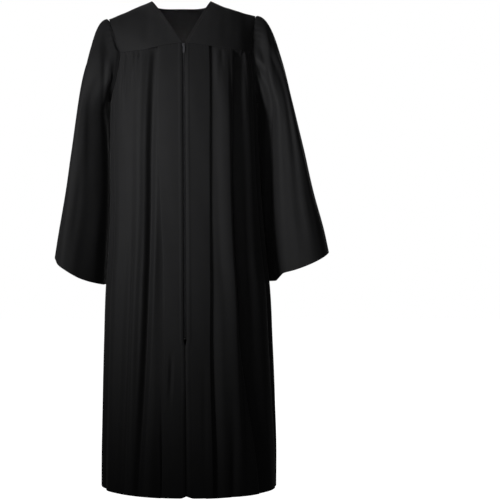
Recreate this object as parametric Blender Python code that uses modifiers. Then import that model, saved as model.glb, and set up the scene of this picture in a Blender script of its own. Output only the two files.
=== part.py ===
"""Graduation gown in its worn, filled-out form, as hollow cloth with nobody inside.

Metres, +Z up. The front faces -Y, and +X is on the wearer's left. The origin is the middle of the
neck, 2 mm above the points where the shoulder ridges meet it. Every cloth wall is a surface worked
out from the tables below, with Solidify giving it its thickness equally to both sides.
"""

import math
from collections import namedtuple

import bmesh
import bpy
import numpy as np
from mathutils import Matrix

# ---------------------------------------------------------------- driving sizes
WALL = 0.0015  # thickness of the cloth with its turned layers
SEAM_GAP = 0.0003  # between two pieces that are sewn together
SLOPED_GAP = 0.0010  # the same, on the heights of two edges whose ends lean
FOLDED_GAP = 0.0005  # the same, down the middle of the back, whose folds lean it
TAPE_WALL = 0.001

HEM_Z = -1.295
UNDERARM_Z = -0.272
YOKE_SEAM_Z = -0.129  # at the centre front
YOKE_SEAM_DROP = {-1: 0.018, 1: 0.0115}  # by how much it is lower towards each armhole
YOKE_SEAM_RUN = 0.125  # sideways distance over which it drops
BACK_SEAM_Z = -0.150
BACK_NECK_DEPTH = 0.058
BACK_NECK_RISE = 0.0275  # how much higher the back neck's edge is than the ridges' ends
NECK_CORNER = 2.6  # how square the back neck is, where 2 would be an ellipse
YOKE_TURN = math.radians(68.0)  # how far a yoke turns over the shoulder, from level

ZIP_GAP = 0.0040  # half the open strip between the front edges
CLOSED_GAP = 0.0005  # half the gap where the front edges meet below the zip
CLOSING = 0.018  # height over which the open strip closes
ZIP_TOP_Z = -0.1315
ZIP_BOTTOM_Z = -0.896
VENT_TOP_Z = -1.012
VENT_GAP = 0.0012

RING_CORNER = 2.25  # exponent of the body's rings

# Body rings: height, centre, half width, depth in front, depth behind.
TORSO_COLUMNS = ("z", "centre", "half_width", "front", "back")
TORSO = (
    (-0.100, 0.0000, 0.1800, 0.092, 0.100),
    (-0.200, 0.0010, 0.1900, 0.118, 0.121),
    (-0.300, 0.0030, 0.1960, 0.130, 0.129),
    (-0.400, 0.0050, 0.1990, 0.136, 0.131),
    (-0.534, 0.0090, 0.2020, 0.143, 0.135),
    (-0.668, 0.0125, 0.2105, 0.151, 0.142),
    (-0.770, 0.0148, 0.2199, 0.157, 0.148),
    (-0.910, 0.0156, 0.2252, 0.165, 0.155),
    (-1.070, 0.0168, 0.2302, 0.173, 0.163),
    (-1.178, 0.0175, 0.2330, 0.178, 0.168),
    (-1.295, 0.0174, 0.2330, 0.182, 0.172),
)

# Long folds of the fronts and back: angle round the body in degrees (0 front, 90 the wearer's
# left, 180 back) and depth in mm (a ridge is negative) at the four heights of FOLD_Z, then the
# half widths in mm towards lower and higher angles.
FOLD_Z = (-0.150, -0.500, -0.850, -1.295)
Fold = namedtuple("Fold", "name angle depth width_below width_above")
FOLD_TABLE = (
    ("right_long_valley", (-21, -26.2, -27.8, -33), (4, 15, 16, 7), 16, 20),
    ("right_long_ridge", (-31, -34, -36, -38), (-3, -5, -6, -4), 22, 16),
    ("right_hem_valley", (-43, -43, -43, -47), (0, 2, 9, 7), 22, 26),
    ("right_side_ridge", (-60, -58, -57, -60), (0, -3, -5, -5), 26, 24),
    ("right_side_valley", (-74, -72, -71, -73), (3, 5, 7, 8), 20, 22),
    ("left_deep_fold", (46, 36.5, 34.5, 52), (13, 30, 28, 14), 12, 34),
    ("left_soft_ridge", (60, 55, 51, 66), (-3, -7, -6, -3), 20, 22),
    ("left_beside_sleeve", (74, 73, 72, 80), (2, 9, 8, 4), 18, 20),
    ("left_hem_valley", (27, 27, 26.8, 26.2), (0, 0, 3, 10), 15, 17),
    ("left_inner_ridge", (24, 23, 21, 20), (0, -2, -4, -4), 14, 14),
    ("back_1", (104, 104, 103, 101), (3, 8, 9, 10), 22, 26),
    ("back_2", (124, 122, 120, 117), (-3, -8, -9, -11), 20, 22),
    ("back_3", (139, 137, 135, 133), (5, 15, 17, 15), 18, 22),
    ("back_4", (152, 151, 150, 151), (-3, -7, -9, -11), 18, 16),
    ("back_5", (164, 164, 165, 167), (5, 13, 15, 13), 16, 20),
    ("back_6", (181, 182, 183, 184), (-2, -6, -8, -10), 26, 22),
    ("back_7", (198, 199, 200, 199), (5, 15, 16, 14), 20, 17),
    ("back_8", (211, 212, 213, 215), (-3, -7, -8, -10), 16, 20),
    ("back_9", (224, 226, 228, 231), (4, 13, 16, 14), 20, 18),
    ("back_10", (240, 242, 244, 247), (-3, -7, -9, -11), 22, 20),
    ("back_11", (258, 258, 259, 260), (3, 7, 8, 9), 24, 22),
)
FOLDS = tuple(Fold(*row) for row in FOLD_TABLE)

# Knife pleats of each side, at FOLD_Z: the angle of the visible edge in degrees, how far the cloth
# turns back in degrees, the radius of its turns in mm and the cloth hidden under it in mm.
Pleat = namedtuple("Pleat", "edge turn radius lap")
PLEATS = {
    1: Pleat((19.3, 15.5, 12.1, 12.6), (180, 180, 176, 160), (1.5, 1.6, 1.9, 2.6), (14, 14, 14, 13)),
    -1: Pleat((17.6, 16.5, 13.6, 15.3), (180, 172, 60, 95), (1.5, 1.6, 2.6, 2.6), (11, 11, 4, 6)),
}
PLEAT_EASE = 0.034  # beyond a pleat, the distance over which the cloth comes forward again
PLEAT_EMERGE = 0.0015  # where the hidden cloth is clear of the edge above it
PLEAT_ARC_STEPS = 4

# Small gathers below a yoke: angle from, angle to, how many waves, depth in mm, length in m.
Gather = namedtuple("Gather", "angle_from angle_to waves depth length")
GATHERS = (
    Gather(-62, -30, 6, 1.6, 0.055),
    Gather(50, 74, 4, 1.5, 0.050),
    Gather(122, 238, 17, 2.4, 0.090),
)
FOLD_RISE = 0.030  # below a seam, the distance over which the folds start
GATHER_RISE = 0.012  # the same for the gathers
HEM_DIP = 0.26  # how much lower the front hem hangs for each metre that it is pressed in
STEEP_FOLD = {1: "left_deep_fold"}  # a fold of each front that its columns follow

# Sleeves, one row for each ring below the head: height, how far out the ring reaches, how near
# the body it comes, its centre front to back and half its depth.
SLEEVE_COLUMNS = ("z", "outer", "inner", "centre_y", "half_depth")
SLEEVES = {
    "sleeve_right": {
        "side": -1,
        "rings": (
            (-0.320, 0.2815, 0.1900, 0.022, 0.080),
            (-0.420, 0.2970, 0.1890, 0.028, 0.087),
            (-0.534, 0.3135, 0.1900, 0.033, 0.095),
            (-0.640, 0.3293, 0.1970, 0.037, 0.104),
            (-0.7205, 0.3400, 0.2030, 0.040, 0.112),
        ),
        "head_out": 0.83,
        "slant": 0.030,
        "cuff_rise": 0.045,
        "cuff_front_drop": 0.024,
        "cuff_tail": 0.000,
    },
    "sleeve_left": {
        "side": 1,
        "rings": (
            (-0.320, 0.3020, 0.1960, 0.018, 0.082),
            (-0.420, 0.3262, 0.2010, 0.022, 0.090),
            (-0.534, 0.3517, 0.2070, 0.027, 0.098),
            (-0.640, 0.3782, 0.2160, 0.031, 0.107),
            (-0.703, 0.3900, 0.2240, 0.034, 0.114),
        ),
        "head_out": 0.92,
        "slant": 0.030,
        "cuff_rise": 0.0364,
        "cuff_front_drop": 0.0135,
        "cuff_tail": 0.015,
    },
}
HEAD_DOWN = 2.2  # powers of the way down the head: over the shoulder, and under the arm
UNDERARM_DOWN = 1.3
HEAD_PUFF = 0.010  # how far the head stands out in front and behind
HEAD_ROWS = (0.0, 0.03, 0.11, 0.27, 0.50, 0.76)  # shares of the way down the head
HEAD_ROLL = (0.0025, 0.0055)  # how far it stands off its seam at the top, and under the arm
INNER_SHOULDER = (0.100, 0.004, -0.190)
SLEEVE_TUCK = 0.0018  # how far a sleeve starts inside its armhole

# Folds of the sleeves: angle round the sleeve in degrees (0 outside, 90 front, 180 next to the
# body, 270 back) and depth in mm at the head, elbow and cuff, then the half width in degrees.
SleeveFold = namedtuple("SleeveFold", "sleeve angle depth width")
SLEEVE_FOLD_TABLE = (
    ("sleeve_right", (96, 118, 128), (9, 9, 7), 20),
    ("sleeve_right", (60, 66, 70), (-2, -3, -4), 26),
    ("sleeve_right", (250, 245, 240), (6, 9, 9), 22),
    ("sleeve_right", (292, 296, 300), (3, 5, 7), 24),
    ("sleeve_right", (330, 325, 322), (-1, -2, -3), 20),
    ("sleeve_left", (104, 132, 150), (10, 11, 8), 16),
    ("sleeve_left", (82, 104, 118), (-4, -6, -5), 14),
    ("sleeve_left", (62, 82, 92), (3, 6, 3), 16),
    ("sleeve_left", (250, 247, 243), (6, 9, 8), 22),
    ("sleeve_left", (295, 292, 297), (3, 6, 8), 24),
    ("sleeve_left", (330, 326, 322), (-1, -2, -3), 20),
)
SLEEVE_FOLDS = tuple(SleeveFold(*row) for row in SLEEVE_FOLD_TABLE)
SLEEVE_FOLD_PLACES = (0.0, 0.5, 1.0)  # head, elbow and cuff
SLEEVE_FOLD_RISE = 0.10  # share of the sleeve's length over which its folds start
CUFF_CURVE = 1.5  # power by which the cuff's tilt fades up the arm
CUFF_TAIL_FROM = -0.45  # how far in a cuff's tail starts, where -1 is next to the body
CUFF_TAIL_RUN = 0.3

# How finely each wall is divided.
FRONT_INNER_STEPS = 5
FRONT_OUTER_STEPS = 16
STEEP_STEPS = (4, 4, 5, 3)  # the same, before, into and out of a steep fold, and after it
ARMHOLE_STEPS = 8
BODY_ROWS = 14
BACK_STEPS = 20  # of each half
ARM_ROWS = 8
YOKE_ROWS = 7
YOKE_STEPS = 14
NECK_STEPS = 12
BODY_ROW_SPREAD = 1.15  # above 1, rows are closer together at the top
YOKE_ROW_SPREAD = 1.25
NEAREST_ROWS = 0.02  # the least share of the length between two rows

# Armhole corners, where the yoke seams end: angles round the body in degrees.
CORNER_FRONT = {-1: 61.0, 1: 76.0}
CORNER_BACK = {-1: 112.0, 1: 112.0}
CORNER_Z = -0.140  # the height whose ring gives how far out a front corner is
SIDE_SEAM_Z = -0.700  # the height at which the side seam's gap is measured

# Shoulder ridges from the neck to the sleeve: distance out from the middle, and height.
RIDGE_COLUMNS = ("out", "z")
RIDGES = {
    -1: ((0.0830, -0.0023), (0.1065, -0.0124), (0.1575, -0.0338), (0.1970, -0.0495)),
    1: (
        (0.0765, -0.0023),
        (0.0982, -0.0121),
        (0.1291, -0.0228),
        (0.1645, -0.0332),
        (0.1862, -0.0382),
        (0.1950, -0.0400),
    ),
}
RIDGE_TIP_Y = 0.004

# Zip parts, in the slope of the cloth at the top of the zip.
TAPE_INNER = 0.0028
TAPE_OUTER = 0.0150
TAPE_SET_BACK = 0.0017
CHAIN_HALF_WIDTH = 0.0024
CHAIN_WALL = 0.0020
CHAIN_SET_BACK = 0.0012
SLIDER_Z = -0.1370
SLIDER_WIDTH = 0.0086
SLIDER_LENGTH = 0.0105
SLIDER_PLATE = 0.0013
SLIDER_FRONT = 0.0011  # from the middle of the cloth out to the back of the front plate
SLIDER_BACK = 0.0033  # from the middle of the cloth in to the front of the back plate
POST_WIDTH = 0.0022
POST_LENGTH = 0.0026
BRIDGE_WIDTH = 0.0018
BRIDGE_LENGTH = 0.0066
BRIDGE_WALL = 0.0009
BRIDGE_CLEAR = 0.0021
PIN_RADIUS = 0.00055
PULL_LENGTH = 0.0225
PULL_WIDTH = 0.0052
PULL_WALL = 0.0011
PULL_WINDOW = (0.0026, 0.0056)  # width and length of the gap that the bridge stands in
WINDOW_ABOVE = 0.0011  # how far the gap reaches above the pin
ROD_SEGMENTS = 12
SLOPE_STEP = 0.03  # the height over which a slope of the cloth is measured
JOINED = 0.0002  # how far a helper reaches into what it is joined to
STOP_SIZE = (0.0064, 0.0013, 0.0030)
STOP_OUT = -0.0001

MM = 0.001


# ---------------------------------------------------------------- curves and rings
def column(rows, names, name):
    """One named column of a table, as an array."""
    return np.array([row[names.index(name)] for row in rows], float)


def smooth(t):
    """0 below 0, 1 above 1, and a soft S between."""
    t = np.clip(t, 0.0, 1.0)
    return t * t * (3.0 - 2.0 * t)


def through(at, knots, values):
    """A smooth curve through (knots, values), with knots rising or falling."""
    knots, values = np.asarray(knots, float), np.asarray(values, float)
    if knots[0] > knots[-1]:
        knots, values = knots[::-1], values[::-1]
    at = np.clip(at, knots[0], knots[-1])
    slopes = np.gradient(values, knots)
    i = np.clip(np.searchsorted(knots, at) - 1, 0, len(knots) - 2)
    step = knots[i + 1] - knots[i]
    t = (at - knots[i]) / step
    rise = values[i + 1] - values[i]
    bend_in = step * slopes[i] - rise
    bend_out = rise - step * slopes[i + 1]
    return values[i] + t * rise + t * (1 - t) * ((1 - t) * bend_in + t * bend_out)


def torso_sizes(z):
    heights = column(TORSO, TORSO_COLUMNS, "z")
    return [
        through(z, heights, column(TORSO, TORSO_COLUMNS, name)) for name in TORSO_COLUMNS[1:]
    ]


def torso(angle, z):
    """The point of the plain body form at an angle in radians, and its outward normal."""
    centre, half_width, front, back = torso_sizes(z)
    s, c = np.sin(angle), np.cos(angle)
    depth = np.where(c > 0, front, back)
    power = 2.0 / RING_CORNER
    x = centre + half_width * np.sign(s) * np.abs(s) ** power
    y = -depth * np.sign(c) * np.abs(c) ** power
    nx = np.sign(s) * np.abs(s) ** (2 - power) / half_width
    ny = -np.sign(c) * np.abs(c) ** (2 - power) / depth
    size = np.hypot(nx, ny)
    return np.stack([x, y, z + 0 * x], -1), np.stack([nx / size, ny / size, 0 * nx], -1)


def ring_speed(angle, z):
    """Metres along the ring for each radian."""
    step = 0.02
    ahead, behind = torso(angle + step, z)[0], torso(angle - step, z)[0]
    return np.linalg.norm(ahead - behind, axis=-1) / (2 * step)


def angle_at(x, z):
    """The front's angle where the ring passes a given x."""
    centre, half_width = torso_sizes(z)[:2]
    share = (x - centre) / half_width
    return np.sign(share) * np.arcsin(np.clip(np.abs(share), 0, 1) ** (RING_CORNER / 2))


def centre_x(z):
    """Where the zip and the closed edges run."""
    return through(z, (-0.12, -0.5, -0.9, -1.295), (0.0031, 0.0050, 0.0068, 0.0100))


def edge_gap(z):
    """Half the distance between the two front edges."""
    closing = smooth((ZIP_BOTTOM_Z - z) / CLOSING)
    opening = smooth((VENT_TOP_Z - z) / 0.10)
    below = CLOSED_GAP + (VENT_GAP - CLOSED_GAP) * opening
    return ZIP_GAP + (below - ZIP_GAP) * closing


def fold_depth(angle, z, from_seams):
    """How far the folds and gathers press the cloth in, in metres, along the normal."""
    degrees = np.degrees(angle) % 360.0
    speed = ring_speed(angle, z)
    depth = np.zeros_like(degrees + z)
    for fold in FOLDS:
        place = through(z, FOLD_Z, fold.angle)
        away = (degrees - place + 180.0) % 360.0 - 180.0
        away = np.radians(away) * speed
        width = np.where(away < 0, fold.width_below, fold.width_above) * MM
        shape = np.cos(0.5 * np.pi * np.clip(away / width, -1, 1)) ** 2
        depth = depth + through(z, FOLD_Z, fold.depth) * MM * shape
    depth = depth * smooth(from_seams / FOLD_RISE)
    for gather in GATHERS:
        place = (degrees - gather.angle_from) % 360.0 / (gather.angle_to - gather.angle_from)
        inside = np.where(place < 1, np.sin(np.pi * np.clip(place, 0, 1)) ** 0.5, 0.0)
        fade = smooth(from_seams / GATHER_RISE) * np.exp(-((from_seams / gather.length) ** 1.5))
        wave = np.sin(2 * np.pi * gather.waves * place)
        depth = depth + gather.depth * MM * wave * inside * fade
    return depth


def body_point(angle, z, from_seams, pushed=0.0):
    """The cloth of the body: the plain form with its folds, pushed in by a further distance."""
    point, normal = torso(angle, z)
    inwards = fold_depth(angle, z, from_seams) + pushed
    return point - normal * inwards[..., None]


# ---------------------------------------------------------------- seams
def front_seam_z(side, x):
    away = np.clip(np.abs(x) / YOKE_SEAM_RUN, 0, 1)
    return YOKE_SEAM_Z - YOKE_SEAM_DROP[side] * (1 - np.cos(np.pi * away)) / 2


def armhole_z(share, corner_z):
    """The armhole's height on the body, from the yoke's corner at 0 to the underarm at 1."""
    return corner_z + (UNDERARM_Z - corner_z) * np.sqrt(1 - (1 - share) ** 2)


def front_top_z(angle, side):
    """The upper edge of a front: its yoke seam, then its armhole."""
    corner = math.radians(CORNER_FRONT[side])
    at = np.abs(angle)
    x = torso(np.minimum(at, corner) * side, np.full_like(at, CORNER_Z))[0][..., 0]
    share = np.clip((at - corner) / (math.pi / 2 - corner), 0, 1)
    seam_z, corner_z = front_seam_z(side, x), front_corner_z(side)
    return np.where(at <= corner, seam_z, armhole_z(share, corner_z))


def front_corner_z(side):
    corner = np.array(math.radians(CORNER_FRONT[side]) * side)
    return float(front_seam_z(side, torso(corner, np.array(CORNER_Z))[0][..., 0]))


def back_top_z(angle, side):
    """The upper edge of the back, at angles from 90 to 180 degrees on one side."""
    corner = math.radians(CORNER_BACK[side])
    share = np.clip((corner - np.abs(angle)) / (corner - math.pi / 2), 0, 1)
    return armhole_z(share, BACK_SEAM_Z)


def seam_distance(angle, z, top, corner, corner_z):
    """How far a point of a front or the back is from its yoke seam and its armhole."""
    fall = np.clip((corner_z - z) / (corner_z - UNDERARM_Z), 0, 1)
    at_height = corner + (math.pi / 2 - corner) * (1 - np.sqrt(1 - fall**2))
    sideways = (at_height - angle) * ring_speed(angle, z)
    past = np.maximum(UNDERARM_Z - z, 0.0)
    return np.minimum(top - z, np.hypot(sideways, past))


def ridge_ends(side):
    """How far out a shoulder ridge starts at the neck and ends at the sleeve."""
    out = column(RIDGES[side], RIDGE_COLUMNS, "out")
    return out[0], out[-1]


def ridge(side, out):
    """The shoulder ridge, which goes on over the neck as the yokes' own crown."""
    neck, tip = ridge_ends(side)
    heights = column(RIDGES[side], RIDGE_COLUMNS, "z")
    fall = through(out, column(RIDGES[side], RIDGE_COLUMNS, "out"), heights)
    crown = BACK_NECK_RISE * (1 - np.clip(out / neck, 0, 1) ** NECK_CORNER)
    share = np.clip((out - neck) / (tip - neck), 0, 1)
    return np.stack([side * out + 0 * fall, RIDGE_TIP_Y * share, fall + crown], -1)


def over_shoulder(top, bottom, v):
    """From the ridge (v 0) to the yoke's seam (v 1): a quarter turn, forwards first, then down."""
    turn = np.asarray(v) * YOKE_TURN
    across = (1 - np.cos(turn)) / (1 - math.cos(YOKE_TURN))
    along = np.sin(turn) / math.sin(YOKE_TURN)
    share = np.stack([across, along, across], -1)
    return top + (bottom - top) * share


def front_yoke(side, u, v):
    """A front yoke: u from the neck's V edge to the armhole, v from the ridge to the seam."""
    corner = math.radians(CORNER_FRONT[side])
    first = angle_at(centre_x(YOKE_SEAM_Z) + side * ZIP_GAP * 0.7, YOKE_SEAM_Z)
    angle = first + (corner * side - first) * u
    x = torso(angle, np.full_like(angle, CORNER_Z))[0][..., 0]
    bottom = torso(angle, front_seam_z(side, x) + SLOPED_GAP / 2)[0]
    neck, tip = ridge_ends(side)
    top = ridge(side, neck + (tip - neck) * u)
    top[..., 1] -= SLOPED_GAP / 2
    return over_shoulder(top, bottom, v)


def back_yoke_top(side):
    """Half of the back yoke's upper edge: x from the middle of the neck to the shoulder tip."""
    neck, tip = ridge_ends(side)
    behind = neck * np.sin(np.linspace(0, math.pi / 2, NECK_STEPS + 1))[:-1]
    return np.concatenate([behind, np.linspace(neck, tip, YOKE_STEPS + 1)])


def back_yoke(side, out, v):
    """Half of the back yoke: out from the middle, v from the upper edge to the seam."""
    neck, tip = ridge_ends(side)
    top = ridge(side, out)
    top[..., 1] += SLOPED_GAP / 2
    corner = math.radians(CORNER_BACK[side])
    angle = side * (math.pi - (math.pi - corner) * out / tip)
    bottom = torso(angle, np.full_like(angle, BACK_SEAM_Z + SLOPED_GAP / 2))[0]
    square = np.clip(1 - (out / neck) ** NECK_CORNER, 0, 1)
    neck_y = BACK_NECK_DEPTH * square ** (1 / NECK_CORNER)
    reach = (neck_y - top[..., 1]) / (bottom[..., 1] - top[..., 1]) * math.sin(YOKE_TURN)
    start = np.arcsin(np.clip(reach, 0, 1)) / YOKE_TURN
    return over_shoulder(top, bottom, start + (1 - start) * v)


def yoke_rows():
    """The yokes' rows, closer together at the ridge."""
    return np.linspace(0, 1, YOKE_ROWS + 1) ** YOKE_ROW_SPREAD


def armhole_turns():
    """Shares of the way from a yoke's corner (0) to the side seam (1), closer at the corner."""
    turns = np.linspace(0, math.pi / 2, ARMHOLE_STEPS + 2)
    return 1 - np.cos(np.delete(turns, 1))


def armhole(side):
    """The armhole's points: shoulder tip, front, underarm, back, as its neighbours have them."""
    v, share = yoke_rows(), armhole_turns()[1:]
    front_corner = math.radians(CORNER_FRONT[side])
    back_corner = math.radians(CORNER_BACK[side])
    front_angle = front_corner + (math.pi / 2 - front_corner) * share
    back_angle = back_corner - (back_corner - math.pi / 2) * share
    front_down = torso(side * front_angle, armhole_z(share, front_corner_z(side)))[0]
    back_down = torso(side * back_angle, armhole_z(share, BACK_SEAM_Z))[0]
    front = np.concatenate([front_yoke(side, np.ones_like(v), v), front_down])
    back_edge = back_yoke(side, np.full_like(v, ridge_ends(side)[1]), v)
    back = np.concatenate([back_edge, back_down])
    return front, back


def share_along(points):
    """How far along a line each of its points lies, from 0 to 1."""
    run = np.concatenate([[0.0], np.cumsum(np.linalg.norm(np.diff(points, axis=0), axis=1))])
    return run / run[-1]


# ---------------------------------------------------------------- surfaces
def pleat_section(side, z):
    """The turned cloth of a knife pleat: sideways and inward distances for each row of z."""
    pleat = PLEATS[side]
    turn = np.radians(through(z, FOLD_Z, pleat.turn))
    radius = through(z, FOLD_Z, pleat.radius) * MM
    lap = through(z, FOLD_Z, pleat.lap) * MM
    steps = np.linspace(0, 1, PLEAT_ARC_STEPS + 1)
    going = turn[:, None] * steps
    first_x = radius[:, None] * np.sin(going)
    first_in = radius[:, None] * (1 - np.cos(going))
    mid_x = first_x[:, -1:] + (lap * np.cos(turn))[:, None]
    mid_in = first_in[:, -1:] + (lap * np.sin(turn))[:, None]
    coming = turn[:, None] * (1 - steps)
    second_x = mid_x + radius[:, None] * (np.sin(turn)[:, None] - np.sin(coming))
    second_in = mid_in + radius[:, None] * (np.cos(coming) - np.cos(turn)[:, None])
    sideways = np.concatenate([first_x, second_x], 1)
    inwards = np.concatenate([first_in, second_in], 1)
    edge = np.maximum.accumulate(sideways, 1)[:, PLEAT_ARC_STEPS : PLEAT_ARC_STEPS + 1]
    return sideways - edge, inwards


def body_rows():
    """Shares of the way down from the upper edge to the hem, with two rows where the zip ends."""
    even = np.linspace(0, 1, BODY_ROWS + 1) ** BODY_ROW_SPREAD
    length = YOKE_SEAM_Z - HEM_Z
    ends = (YOKE_SEAM_Z - np.array([ZIP_BOTTOM_Z, ZIP_BOTTOM_Z - CLOSING])) / length
    apart = np.abs(even[:, None] - ends).min(1) > NEAREST_ROWS
    return np.sort(np.concatenate([even[apart], ends]))


def outer_columns(side, clear, corner, z):
    """Angles from a pleat to the yoke's corner: even steps, or steps that follow a steep fold."""
    if side not in STEEP_FOLD:
        return clear + (corner - clear) * np.linspace(0, 1, FRONT_OUTER_STEPS + 1)
    fold = next(f for f in FOLDS if f.name == STEEP_FOLD[side])
    place = np.radians(through(z, FOLD_Z, fold.angle))[:, None] * side
    speed = ring_speed(place[:, 0], z)[:, None]
    before, after = fold.width_below * MM / speed, fold.width_above * MM / speed
    stops = (clear, place - before, place, place + after, corner)
    runs = [
        start + (end - start) * np.linspace(0, 1, steps + 1)[:-1]
        for start, end, steps in zip(stops, stops[1:], STEEP_STEPS)
    ]
    return np.concatenate([*runs, corner + 0 * clear], 1)


def front_surface(side):
    """A front, as a grid of rows from its upper edge to the hem and columns from the zip."""
    corner = math.radians(CORNER_FRONT[side])
    quarter = math.pi / 2
    seam = SEAM_GAP / 2 / ring_speed(np.array(quarter), np.array(SIDE_SEAM_Z))
    run = body_rows()[:, None]
    middle_z = YOKE_SEAM_Z + (HEM_Z - YOKE_SEAM_Z) * run[:, 0]
    sideways, inwards = pleat_section(side, middle_z)
    edge = np.radians(through(middle_z, FOLD_Z, PLEATS[side].edge))[:, None]
    speed = ring_speed(edge[:, 0] * side, middle_z)[:, None]
    start = side * angle_at(centre_x(middle_z) + side * edge_gap(middle_z), middle_z)[:, None]
    pleat = edge + sideways / speed
    inner = start + (pleat[:, :1] - start) * np.linspace(0, 1, FRONT_INNER_STEPS + 1)[:-1]
    clear = np.maximum(edge, pleat[:, -1:]) + PLEAT_EMERGE / speed
    outer = outer_columns(side, clear, corner, middle_z)
    last = corner + (quarter - seam - corner) * armhole_turns()[1:]
    angle = np.concatenate([inner, pleat, outer, last + 0 * run], 1)
    beyond = (angle - clear) * speed
    push = inwards[:, -1:] * (1 - smooth(beyond / PLEAT_EASE))
    push[:, :FRONT_INNER_STEPS] = 0.0
    push[:, FRONT_INNER_STEPS : FRONT_INNER_STEPS + pleat.shape[1]] = inwards
    top = front_top_z(angle, side) - SEAM_GAP / 2
    pressed_in = fold_depth(angle[-1:] * side, np.array(HEM_Z), 1.0) + push[-1:]
    z = top + (HEM_Z - HEM_DIP * pressed_in - top) * run
    from_seams = seam_distance(angle, z, top, corner, front_corner_z(side))
    points = body_point(angle * side, z, from_seams, push)
    return points if side > 0 else points[:, ::-1]


def back_surface(side):
    """Half of the back, as a grid of rows from its upper edge to the hem and columns from the
    wearer's left to the right. A seam down the middle joins the halves."""
    quarter = math.pi / 2
    corner = math.radians(CORNER_BACK[side])
    side_seam = SEAM_GAP / 2 / ring_speed(np.array(quarter), np.array(SIDE_SEAM_Z))
    middle_seam = FOLDED_GAP / 2 / ring_speed(np.array(math.pi), np.array(SIDE_SEAM_Z))
    under_arm = corner - (corner - quarter - side_seam) * armhole_turns()[::-1]
    across = np.linspace(corner, math.pi - middle_seam, BACK_STEPS + 1)
    angle = np.concatenate([under_arm[:-1], across])
    top = back_top_z(angle, side) - SEAM_GAP / 2
    z = top + (HEM_Z - top) * body_rows()[:, None]
    from_seams = seam_distance(angle + 0 * z, z, top, corner, BACK_SEAM_Z)
    points = body_point(side * angle + 0 * z, z, from_seams)
    return points if side > 0 else points[:, ::-1]


def sleeve_fold(name, angle, along):
    """How far a sleeve's folds press it in, at angles in degrees, from head (0) to cuff (1)."""
    depth = np.zeros_like(angle + along)
    for fold in SLEEVE_FOLDS:
        if fold.sleeve != name:
            continue
        place = through(along, SLEEVE_FOLD_PLACES, fold.angle)
        away = (angle - place + 180.0) % 360.0 - 180.0
        shape = np.cos(0.5 * np.pi * np.clip(away / fold.width, -1, 1)) ** 2
        depth = depth + through(along, SLEEVE_FOLD_PLACES, fold.depth) * MM * shape
    return depth * smooth(along / SLEEVE_FOLD_RISE)


def sleeve_ring(spec, z, turn):
    """A level ring of a sleeve below its head, and its outward normal."""
    rows, side = spec["rings"], spec["side"]
    heights = column(rows, SLEEVE_COLUMNS, "z")
    outer, inner, centre_y, half_depth = [
        through(z, heights, column(rows, SLEEVE_COLUMNS, name)) for name in SLEEVE_COLUMNS[1:]
    ]
    slant = spec["slant"]
    across = np.sqrt(((outer - inner) / 2) ** 2 - slant**2)
    x = (outer + inner) / 2 + across * np.cos(turn) + slant * np.sin(turn)
    y = centre_y - half_depth * np.sin(turn)
    out_x = half_depth * np.cos(turn)
    out_y = -(across * np.sin(turn) - slant * np.cos(turn))
    size = np.hypot(out_x, out_y)
    normal = np.stack([side * out_x / size, out_y / size, 0 * x], -1)
    return np.stack([side * x, y, z + 0 * x], -1), normal


def run_into_arm(spec, turn, loop, ring, down, w):
    """What moves the head sideways, on all but its outer side, so that it reaches its first ring
    at the arm's own slope: a cubic that is level at the armhole and zero at both ends."""
    below = sleeve_ring(spec, ring[:, 2] - SLOPE_STEP, turn)[0]
    fall = down * (loop[:, 2] - ring[:, 2])
    missing = (below - ring) / SLOPE_STEP * fall[:, None] - (ring - loop) * spec["head_out"]
    missing *= smooth(2 * (1 - np.cos(turn)))[:, None] * (1, 1, 0)
    return (w**2 * (w - 1))[..., None] * missing


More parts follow.
